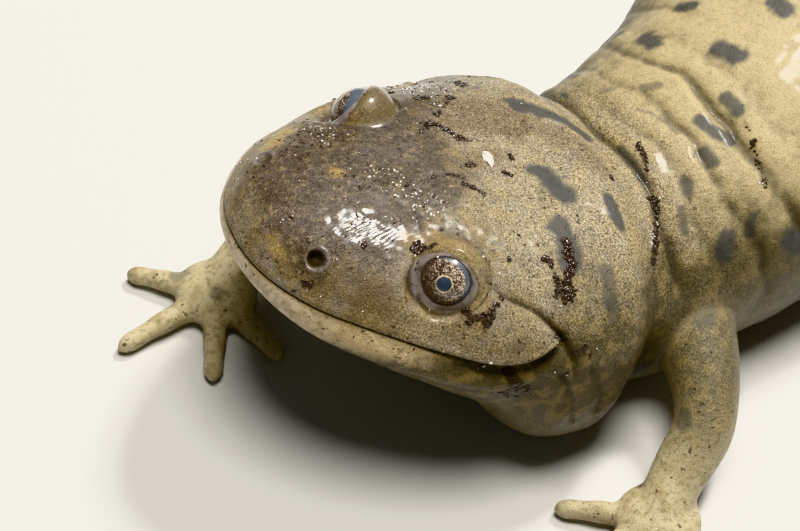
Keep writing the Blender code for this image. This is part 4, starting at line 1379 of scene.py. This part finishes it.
class Paint:
    """A material under construction."""

    def __init__(self, name, **fixed):
        """Start a material, with the shader's values that are the same all over."""
        self.material = bpy.data.materials.new(name)
        self.material.use_nodes = True
        self.tree = self.material.node_tree
        self.shader = self.tree.nodes["Principled BSDF"]
        for key, value in fixed.items():
            self.shader.inputs[key.replace("_", " ")].default_value = value

    def feed(self, socket, value):
        """Link a result to a socket, or set a fixed number or colour on it."""
        if isinstance(value, Socket):
            self.tree.links.new(value.output, socket)
        elif isinstance(value, tuple) and len(value) == 3 and socket.type == "RGBA":
            socket.default_value = (*value, 1.0)
        else:
            socket.default_value = value

    def node(self, kind, settings, inputs, output=0):
        """Any node, from its type, its settings, and the values or links of its sockets."""
        made = self.tree.nodes.new(kind)
        for key, value in settings.items():
            setattr(made, key, value)
        for key, value in inputs.items():
            self.feed(made.inputs[key], value)
        return Socket(self, made.outputs[output])

    def layer(self, name):
        """A mask that is stored on the mesh."""
        return self.node("ShaderNodeAttribute", {"attribute_name": name}, {}, "Fac")

    def position(self):
        """The place on the object, in metres."""
        return self.node("ShaderNodeTexCoord", {}, {}, "Object")

    def mix(self, first, second, factor):
        """The first colour at a factor of 0, and the second at 1."""
        settings = {"data_type": "RGBA", "blend_type": "MIX"}
        return self.node("ShaderNodeMix", settings, {0: factor, 6: first, 7: second}, 2)

    def noise(self, where, scale, detail, **others):
        """Smooth random values from 0 to 1."""
        inputs = {"Vector": where, "Scale": scale, "Detail": detail, **others}
        return self.node("ShaderNodeTexNoise", {"noise_dimensions": "3D"}, inputs, "Fac")

    def grain(self, size, detail=2.0, roughness=0.5):
        """Noise from 0 to 1 with grains of about that size in millimetres."""
        return self.noise(self.position(), 1 / (size * MM), detail, Roughness=roughness)

    def finish(self, colour, roughness, coat, height, distance):
        """Feed the shader what changes over the surface, and hand the material back."""
        self.feed(self.shader.inputs["Base Color"], colour)
        self.feed(self.shader.inputs["Roughness"], roughness)
        self.feed(self.shader.inputs["Coat Weight"], coat)
        bumped = self.node("ShaderNodeBump", {}, {"Strength": 1.0, "Distance": distance, "Height": height})
        self.feed(self.shader.inputs["Normal"], bumped)
        return self.material


print("paint tools:", Socket.__name__, Paint.__name__)

# %% [markdown]
# Close up, the skin is a fine mixture of pale gold, grey and dark grains, a tenth of a millimetre
# across, under a film of water. The colours are laid as a painter would, one coat over another, each
# with the mask that says where it covers. The grains are noise pushed to a hard contrast. The film
# is the shader's coat: a second, smooth reflection over the rougher skin, thicker where it is wet.

# %% Colours of the skin
SNOUT_OLIVE = (0.132, 0.095, 0.046)
TEMPLE = (0.235, 0.192, 0.122)
VEIL_GREY = (0.185, 0.162, 0.135)
STRAW = (0.400, 0.325, 0.178)
NAPE = (0.250, 0.200, 0.108)
GOLD_GRAIN = (0.60, 0.50, 0.31)
DARK_GRAIN = (0.040, 0.030, 0.015)
CAP_BROWN = (0.052, 0.037, 0.023)
# Partly the cap's own purple tinge, partly a painted bluish sheen
CAP_PURPLE_SHEEN = (0.074, 0.056, 0.047)
CAP_TAN = (0.330, 0.240, 0.140)
SLATE = (0.052, 0.054, 0.053)
OCHRE = (0.235, 0.168, 0.068)
YELLOW_OCHRE = (0.330, 0.215, 0.060)
STAIN_BROWN = (0.090, 0.056, 0.030)
LILAC = (0.225, 0.190, 0.182)
LID_GREY = (0.110, 0.092, 0.080)
BELLY_GREY = (0.085, 0.070, 0.032)
LIP_TAN = (0.400, 0.310, 0.170)
LIP_PALE = (0.640, 0.520, 0.360)
MUD_BROWN = (0.028, 0.017, 0.011)
# Painted shade and dirt in the hollows
HOLLOW_SHADE_AND_DIRT = (0.020, 0.014, 0.008)
# Painted shadow in the creases and inside the nostrils
SHADOW_BLACK = (0.010, 0.007, 0.004)
# The feet's pale skin, made paler as painted light, as if in sun
PALE_LIT_LEG = (0.500, 0.430, 0.260)
# Painted shade of the upper legs
ARM_SHADE_OLIVE = (0.036, 0.030, 0.014)
# Painted shade on the jaw, the throat and the sides of the neck
SHADE_OLIVE = (0.044, 0.036, 0.016)
print("snout olive, at full strength:", SNOUT_OLIVE)

# %% Paint the skin
SKIN_BUMP = 0.00009


def paint_skin():
    """The skin's material, from the dry colours up to the film of water."""
    paint = Paint("salamander_skin", Coat_Roughness=0.17, Coat_IOR=1.36, Specular_IOR_Level=0.45)
    layer = {name: paint.layer(name) for name in LAYERS}
    broad, middle, small = paint.grain(5.0, 3.0), paint.grain(1.1, 3.0), paint.grain(0.45, 2.0)
    veil = paint.grain(2.3, 3.0)
    fine, finest = paint.grain(0.125, 2.0, 0.6), paint.grain(0.075, 1.0)
    lip = paint.mix(LIP_TAN, LIP_PALE, layer["lip_front"])
    # Patches of purple tinge and painted bluish sheen over the cap's brown
    cap_colour = paint.mix(CAP_BROWN, CAP_PURPLE_SHEEN, broad.above(0.5, 0.25))
    cap_colour = paint.mix(cap_colour, OCHRE, middle.above(0.60, 0.12) * 0.25)
    cap_colour = paint.mix(cap_colour, MUD_BROWN, (1 - small.above(0.44, 0.12)) * 0.55)
    lilac = paint.mix(LILAC, LID_GREY, middle.above(0.52, 0.2))
    granular = (1 - layer["cap"] * 0.55) * (1 - layer["back"] * 0.60) * (1 - layer["lining"] * 0.65)
    granular = granular * (1 - layer["spots"] * 0.75) * (0.55 + 0.9 * middle) * (1 - layer["legs"] * 0.4)
    granular = granular * (0.42 + 0.58 * layer["pale"]) * (1 - layer["shade"] * 0.6)
    granular = granular * (1 - layer["lower_jaw"] * 0.5) * (1 - layer["stain"] * 0.5)
    tan_fleck = small.above(0.62, 0.06) * fine.above(0.50, 0.10)
    freckle = paint.grain(0.42, 1.0).above(0.70, 0.05) * (1 - layer["back"] * 0.7)
    # Painted shade in the nostrils and along the creases
    deep = (layer["pit_shade"] * 0.96).most(layer["crease_shade"] * 0.75)
    # Each coat is a colour and how much of it is laid at a place, from the lowest coat up
    coats = (
        (TEMPLE, layer["pale"]),
        (NAPE, layer["nape"]),
        (VEIL_GREY, veil.above(0.52, 0.16) * (1 - layer["back"]) * 0.6),
        (STRAW, (layer["back"] + (broad - 0.5) * 0.5).above(0.5, 0.9)),
        (lip, layer["lower_jaw"] * (1 - layer["shade"]) * 0.85),
        (SHADE_OLIVE, layer["shade"] * 0.9),
        # Legs: feet painted pale and lit, upper legs painted in shade
        (PALE_LIT_LEG, layer["legs"] * 0.8),
        (ARM_SHADE_OLIVE, layer["upper_leg_shade"] * 0.85),
        (OCHRE, middle.above(0.56, 0.22) * (0.5 - layer["back"] * 0.35)),
        (DARK_GRAIN, (1 - small.above(0.40, 0.16)) * (0.34 - layer["back"] * 0.2)),
        (BELLY_GREY, layer["belly"] * 0.8),
        (STAIN_BROWN, layer["stain"] * (0.55 + 0.9 * middle)),
        (cap_colour, layer["cap"] * 0.95),
        (YELLOW_OCHRE, layer["tint"] * 0.75),
        (OCHRE, layer["lids"] * (0.15 + 0.45 * middle)),
        (GOLD_GRAIN, fine.above(0.54, 0.14) * granular * 0.56),
        (DARK_GRAIN, (1 - fine.above(0.43, 0.14)) * granular * 0.56),
        (DARK_GRAIN, finest.above(0.62, 0.10) * granular * 0.40),
        (CAP_TAN, tan_fleck * layer["cap"] * 0.55),
        (SLATE, layer["spots"] * (0.80 + 0.25 * fine)),
        (lilac, layer["lining"] * (0.70 + 0.3 * fine)),
        # Painted highlight on the nostrils' rims
        (LILAC, layer["rim_highlight"] * 0.5),
        (MUD_BROWN, freckle * 0.75),
        (MUD_BROWN, layer["mud"] * 0.9),
        (HOLLOW_SHADE_AND_DIRT, layer["hollow"] * 0.70),
        (SHADOW_BLACK, deep),
    )
    colour = SNOUT_OLIVE
    for coat, share in coats:
        colour = paint.mix(colour, coat, share)
    roughness = 0.50 + 0.16 * fine - 0.16 * layer["cap"] - 0.22 * layer["mud"] - 0.15 * layer["lining"]
    wet = 0.30 + 0.45 * layer["cap"] + 0.30 * layer["lids"] + 0.5 * layer["mud"] + (broad - 0.5) * 0.6
    wet = wet + 0.6 * layer["lining"] + 0.5 * layer["rim_highlight"]
    height = fine * 0.6 + finest * 0.3 + middle * 1.0 + small * 0.4
    return paint.finish(colour, roughness, wet, height, SKIN_BUMP)


skin.data.materials.append(paint_skin())
print("skin painted")

# %% [markdown]
# The real animal came out of wet ground. Crumbs of dark mud lie in the creases and in a trail behind
# the eye, and pale grains are strewn over the snout: partly grit, and partly painted glints, white
# specks that stand in for the shine of water. Each grain is a small lumpy ball, half sunk into the
# skin where the mud layer or the cap is strong. The grains of a kind are one joined mesh, which keeps
# the scene light; loose objects would do the same at a much higher cost. One larger pale chip lies
# behind the cap, in a place of its own.

# %% One grain, and many of them
BALL_TURNS = 7
BALL_RINGS = 4
UNEVEN = 0.24
SIZE_SPREAD = 0.45


def lumpy_ball(draw, size, flat):
    """Points and faces of one small uneven grain."""
    polar = np.linspace(0, math.pi, BALL_RINGS + 2)[1:-1]
    around = np.linspace(0, 2 * math.pi, BALL_TURNS, endpoint=False)
    rings = []
    for p in polar:
        across, level = np.cos(around) * math.sin(p), np.full(BALL_TURNS, math.cos(p))
        ring = np.stack([across, np.sin(around) * math.sin(p), level], 1)
        rings.append(ring * (1 + draw.normal(0, UNEVEN, (BALL_TURNS, 1))))
    points, faces = join_rings(rings, np.array([0, 0, 1.0]), np.array([0, 0, -1.0]))
    stretch = size * np.array([draw.uniform(0.8, 1.9), draw.uniform(0.6, 1.1), flat])
    return points * stretch, faces


def strewn(name, weight, count, sizes, flat, seed):
    """Many grains over the skin, more of them where the weight is greater."""
    draw = np.random.default_rng(seed)
    chosen = draw.choice(len(points), count, p=weight / weight.sum())
    grains = []
    for i in chosen:
        up_way = normal[i]
        side_way = np.cross(up_way, draw.normal(size=3))
        side_way /= np.linalg.norm(side_way)
        size = min(sizes[0] * math.exp(draw.normal(0, SIZE_SPREAD)), sizes[1])
        grain, faces = lumpy_ball(draw, size, flat)
        axes = np.array([side_way, np.cross(up_way, side_way), up_way])
        grain = np.clip(points[i] + up_way * size * flat * 0.2 + grain @ axes, box_low, box_high)
        grains.append(((grain + ORIGIN) * MM, faces))
    thing = new_object(name, *join_pieces(grains))
    outward_faces(thing)
    thing.data.shade_smooth()
    return thing


print("faces of one grain:", len(lumpy_ball(np.random.default_rng(1), 1.0, 1.0)[1]))

# %% Crumbs of mud, and pale grains of grit and painted glints
visible_top = (up_side > 0) * (front > 1) * (front < 26) * (leg_share < 0.5)
scatter = cap * visible_top * smoothstep(noise(points, 3.0) * 2.2 + 0.35)
# Weights for the pale grains, both grit and painted glints
grit_and_glint_weight = scatter**2 * smoothstep((front - 6) / 6) + 0.3 * mud**2
grit_and_glint_weight = grit_and_glint_weight + 4.0 * grit_and_glint_lines**2 + 0.02 * visible_top
# Each row has where, how many, the usual and the greatest size, how flat, and the seed of its draw
GRAINS = {
    "mud_crumbs": (mud**2 + 0.0004 * visible_top, 2000, (0.080, 0.24), 0.5, 21),
    "mud_flecks": (scatter + 0.06 * visible_top, 700, (0.050, 0.13), 0.5, 22),
    "pale_grit_and_glints": (grit_and_glint_weight, 400, (0.045, 0.10), 0.6, 23),
}
grains = {name: strewn(name, *row) for name, row in GRAINS.items()}
print("faces in the crumbs:", sum(len(thing.data.polygons) for thing in grains.values()))

# %% The pale chip behind the cap
CHIP_STATION = 19.8
CHIP_ANGLE = 93.0
CHIP_SIZE = 0.78
CHIP_FLAT = 0.30
chip_points, chip_faces = lumpy_ball(np.random.default_rng(3), CHIP_SIZE, CHIP_FLAT)
chip_y, chip_z = section(CHIP_STATION, math.radians(CHIP_ANGLE))
chip_place = place(CHIP_STATION, np.array(chip_y), np.array(chip_z))
chip_home = points[np.linalg.norm(points - chip_place, axis=1).argmin()]
chip_axes = np.array([head_direction((0.9, -0.4, 0.1)), head_direction((0.4, 0.9, 0.0)), HEAD_UP])
chip_points = (chip_home + chip_points @ chip_axes + ORIGIN) * MM
grains["pale_chip"] = new_object("pale_chip", chip_points, chip_faces)
outward_faces(grains["pale_chip"])
print("faces of the chip:", len(chip_faces))

# %% Paint the crumbs
MUD_DARK = (0.012, 0.008, 0.006)
MUD_LIGHT = (0.062, 0.038, 0.025)
# Painted glints: the white grains stand in for the shine of water; the chip is real grit
GRIT_AND_GLINT_TAN = (0.62, 0.58, 0.52)
GRIT_AND_GLINT_WHITE = (0.92, 0.90, 0.86)
GRAIN_BUMP = 0.00003


def paint_grains(name, dark, light, roughness):
    """A wet, speckled finish for grains."""
    paint = Paint(name, Coat_Roughness=0.08, Coat_IOR=1.36)
    fine = paint.grain(0.12, 2.0)
    colour = paint.mix(dark, light, fine.above(0.5, 0.2))
    return paint.finish(colour, roughness + 0.2 * fine, 0.9, fine, GRAIN_BUMP)


mud_paint = paint_grains("wet_mud", MUD_DARK, MUD_LIGHT, 0.26)
grit_and_glint_paint = paint_grains("pale_grains_and_glints", GRIT_AND_GLINT_TAN, GRIT_AND_GLINT_WHITE, 0.20)
for name, thing in grains.items():
    thing.data.materials.append(mud_paint if name.startswith("mud") else grit_and_glint_paint)
print("painted:", ", ".join(grains))

# %% [markdown]
# The eye is nearly a ball, with the clear front bulging a little. What shows through it is a dark
# iris netted with gold, a round pupil with a thin gold rim and a blue-grey painted reflection in it,
# and a blue-grey edge where the clear part meets the white. All of that depends only on the place
# across the gaze, so the ball carries its own gaze coordinates for the material to read. The film of
# water is a very smooth coat.

# %% The eyeball
EYE_RINGS = 56
EYE_COLUMNS = 72
WHITE_SET_BACK = 0.022
CLEAR_EDGE = 0.62


def eyeball(name, side):
    """One eye, turned to its gaze, with the clear front standing out."""
    centre = in_head(mirrored(EYE_CENTRE, side))
    gaze, sideways, upright = gaze_axes(side)
    polar = np.linspace(0, math.pi, EYE_RINGS + 2)[1:-1]
    around = np.linspace(0, 2 * math.pi, EYE_COLUMNS, endpoint=False)
    rings, local = [], []
    for p in polar:
        u, w, g = np.cos(around) * math.sin(p), np.sin(around) * math.sin(p), math.cos(p)
        radius = EYE_RADIUS * (1 - WHITE_SET_BACK * float(smoothstep((math.sin(p) - CLEAR_EDGE) / 0.2)))
        rings.append(centre + radius * (np.outer(u, sideways) + np.outer(w, upright) + g * gaze))
        local.append(np.stack([u, w, np.full_like(u, g)], 1))
    rear = centre - gaze * EYE_RADIUS * (1 - WHITE_SET_BACK)
    points, faces = join_rings(rings, centre + gaze * EYE_RADIUS, rear)
    local = np.concatenate([[[0, 0, 1.0]], *local, [[0, 0, -1.0]]])
    eye = new_object(name, (points + ORIGIN) * MM, faces)
    outward_faces(eye)
    layer = eye.data.attributes.new("gaze_place", "FLOAT_VECTOR", "POINT")
    layer.data.foreach_set("vector", local.astype(np.float32).ravel())
    eye.data.shade_smooth()
    return eye


eyes = {1: eyeball("salamander_eye_left", 1), -1: eyeball("salamander_eye_right", -1)}
print("faces of each eye:", [len(eye.data.polygons) for eye in eyes.values()])

# %% Paint the eyes
IRIS_DARK = (0.036, 0.024, 0.022)
IRIS_BROWN = (0.085, 0.052, 0.038)
FLECK_GOLD = (0.60, 0.49, 0.36)
RING_GOLD = (0.70, 0.56, 0.34)
# Painted reflection in the pupil
PUPIL_REFLECTION_BLUE = (0.045, 0.060, 0.090)
EDGE_GREY = (0.085, 0.100, 0.125)
PUPIL_RADIUS = 0.235
RING_RADIUS = 0.268
EDGE_RADIUS = 0.765
FLECKS_FROM = 0.562
NET_SCALE = 12.0
FINE_SCALE = 30.0
RING_SHARPNESS = 18.0
EDGE_ASIDE = 0.09
EDGE_SHIFT = {1: 0.07, -1: 0.28}
EYE_BUMP = 0.00001


def paint_eye(name, edge_shift):
    """The eye's material. The shift moves the grey edge up, as far as each eye is turned."""
    paint = Paint(name, Coat_Roughness=0.02, Coat_IOR=1.38, Specular_IOR_Level=0.5)
    gaze_place = paint.node("ShaderNodeAttribute", {"attribute_name": "gaze_place"}, {}, "Vector")
    across = paint.node("ShaderNodeSeparateXYZ", {}, {"Vector": gaze_place}, "X")
    upward = paint.node("ShaderNodeSeparateXYZ", {}, {"Vector": gaze_place}, "Y")
    radius = (across * across + upward * upward).root()
    aside, shifted = across + EDGE_ASIDE, upward + edge_shift
    wide = (aside * aside + shifted * shifted).root()
    net = paint.noise(gaze_place, NET_SCALE, 3.0, Distortion=1.6)
    fine = paint.noise(gaze_place, FINE_SCALE, 2.0)
    colour = paint.mix(IRIS_DARK, IRIS_BROWN, fine.above(0.5, 0.3))
    flecks = (net * 0.65 + fine * 0.35).above(FLECKS_FROM - 0.04 * (upward + across), 0.05)
    colour = paint.mix(colour, FLECK_GOLD, flecks)
    ring = (1 - (radius - RING_RADIUS).size() * RING_SHARPNESS).above(0.5, 0.6)
    colour = paint.mix(colour, RING_GOLD, ring * fine.above(0.47, 0.14))
    # Painted reflection: the pupil is blue-grey
    colour = paint.mix(colour, PUPIL_REFLECTION_BLUE, 1 - radius.above(PUPIL_RADIUS, 0.03))
    colour = paint.mix(colour, EDGE_GREY, wide.above(EDGE_RADIUS, 0.07))
    return paint.finish(colour, 0.22 + 0.2 * fine, 1.0, fine, EYE_BUMP)


for side, eye in eyes.items():
    eye.data.materials.append(paint_eye(eye.name, EDGE_SHIFT[side]))
print("eyes painted:", ", ".join(eye.name for eye in eyes.values()))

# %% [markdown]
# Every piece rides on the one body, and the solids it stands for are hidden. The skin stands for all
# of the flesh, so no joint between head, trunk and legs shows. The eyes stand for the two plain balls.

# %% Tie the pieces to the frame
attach(skin, "root")
flesh = [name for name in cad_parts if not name.startswith("eye_")]
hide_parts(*flesh)
for thing in grains.values():
    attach(thing, "root")
for side, node in ((1, "eye_left"), (-1, "eye_right")):
    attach(eyes[side], "root")
    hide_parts(node)
print("skin stands for", len(flesh), "nodes")

# %% [markdown]
# The floor is a plain pale sheet. The light is one broad warm lamp over the head and a little in
# front, a small one on the far side that draws the wet shine on the snout, and a weak fill from the
# camera's side. The broad lamp is kept out of reflections, so the skin shows one clear highlight and
# not two. A faint bluish sky keeps the shadows from going black.

# %% Floor
FLOOR_DROP = 0.00002
FLOOR_REACH = 2.0
FLOOR_COLOUR = (0.62, 0.61, 0.58)
corners = [(x * FLOOR_REACH, y * FLOOR_REACH, -FLOOR_DROP) for x, y in ((-1, -1), (1, -1), (1, 1), (-1, 1))]
floor = new_object("floor", corners, [(0, 1, 2, 3)])
floor_paint = Paint("pale_floor", Roughness=0.7)
floor_paint.feed(floor_paint.shader.inputs["Base Color"], FLOOR_COLOUR)
floor.data.materials.append(floor_paint.material)
print("floor is", 2 * FLOOR_REACH, "metres wide")

# %% Lamps
HEAD_CENTRE = (in_head((-14, 2, 4)) + ORIGIN) * MM
KEY_WAY = head_direction((0.42, 0.10, 0.90))
SHINE_WAY = np.array([-0.40, -0.345, 0.85])
FILL_WAY = head_direction(CAMERA_BACK) * 0.4 + np.array([0.2, 0.1, 0.0])
# Each row has the offset from the head, the width, the power and the colour
LAMPS = {
    "key": (KEY_WAY * 0.55, 0.24, 3.7, (1.0, 0.97, 0.91)),
    "shine": (SHINE_WAY * 0.45, 0.095, 2.2, (1.0, 0.98, 0.95)),
    "fill": (FILL_WAY, 0.3, 0.07, (1.0, 1.0, 1.0)),
}


def soft_lamp(name, offset, size, power, colour):
    """A round lamp at an offset from the head, aimed at it."""
    lamp = bpy.data.objects.new(name, bpy.data.lights.new(name, "AREA"))
    bpy.context.scene.collection.objects.link(lamp)
    lamp.data.shape = "DISK"
    lamp.data.size = size
    lamp.data.energy = power
    lamp.data.color = colour
    lamp.location = Vector(HEAD_CENTRE + offset)
    lamp.rotation_euler = (Vector(HEAD_CENTRE) - lamp.location).to_track_quat("-Z", "Y").to_euler()
    return lamp


lamps = {name: soft_lamp(name, *row) for name, row in LAMPS.items()}
lamps["key"].visible_glossy = False
print("lamps:", ", ".join(lamps))

# %% Sky and colour
SKY_COLOUR = (0.88, 0.92, 1.0, 1.0)
SKY_STRENGTH = 0.08
world = bpy.data.worlds.new("studio")
bpy.context.scene.world = world
world.use_nodes = True
sky = world.node_tree.nodes["Background"]
sky.inputs["Color"].default_value = SKY_COLOUR
sky.inputs["Strength"].default_value = SKY_STRENGTH
bpy.context.scene.view_settings.view_transform = "Khronos PBR Neutral"
bpy.context.scene.view_settings.exposure = 0.0
print("view transform:", bpy.context.scene.view_settings.view_transform)
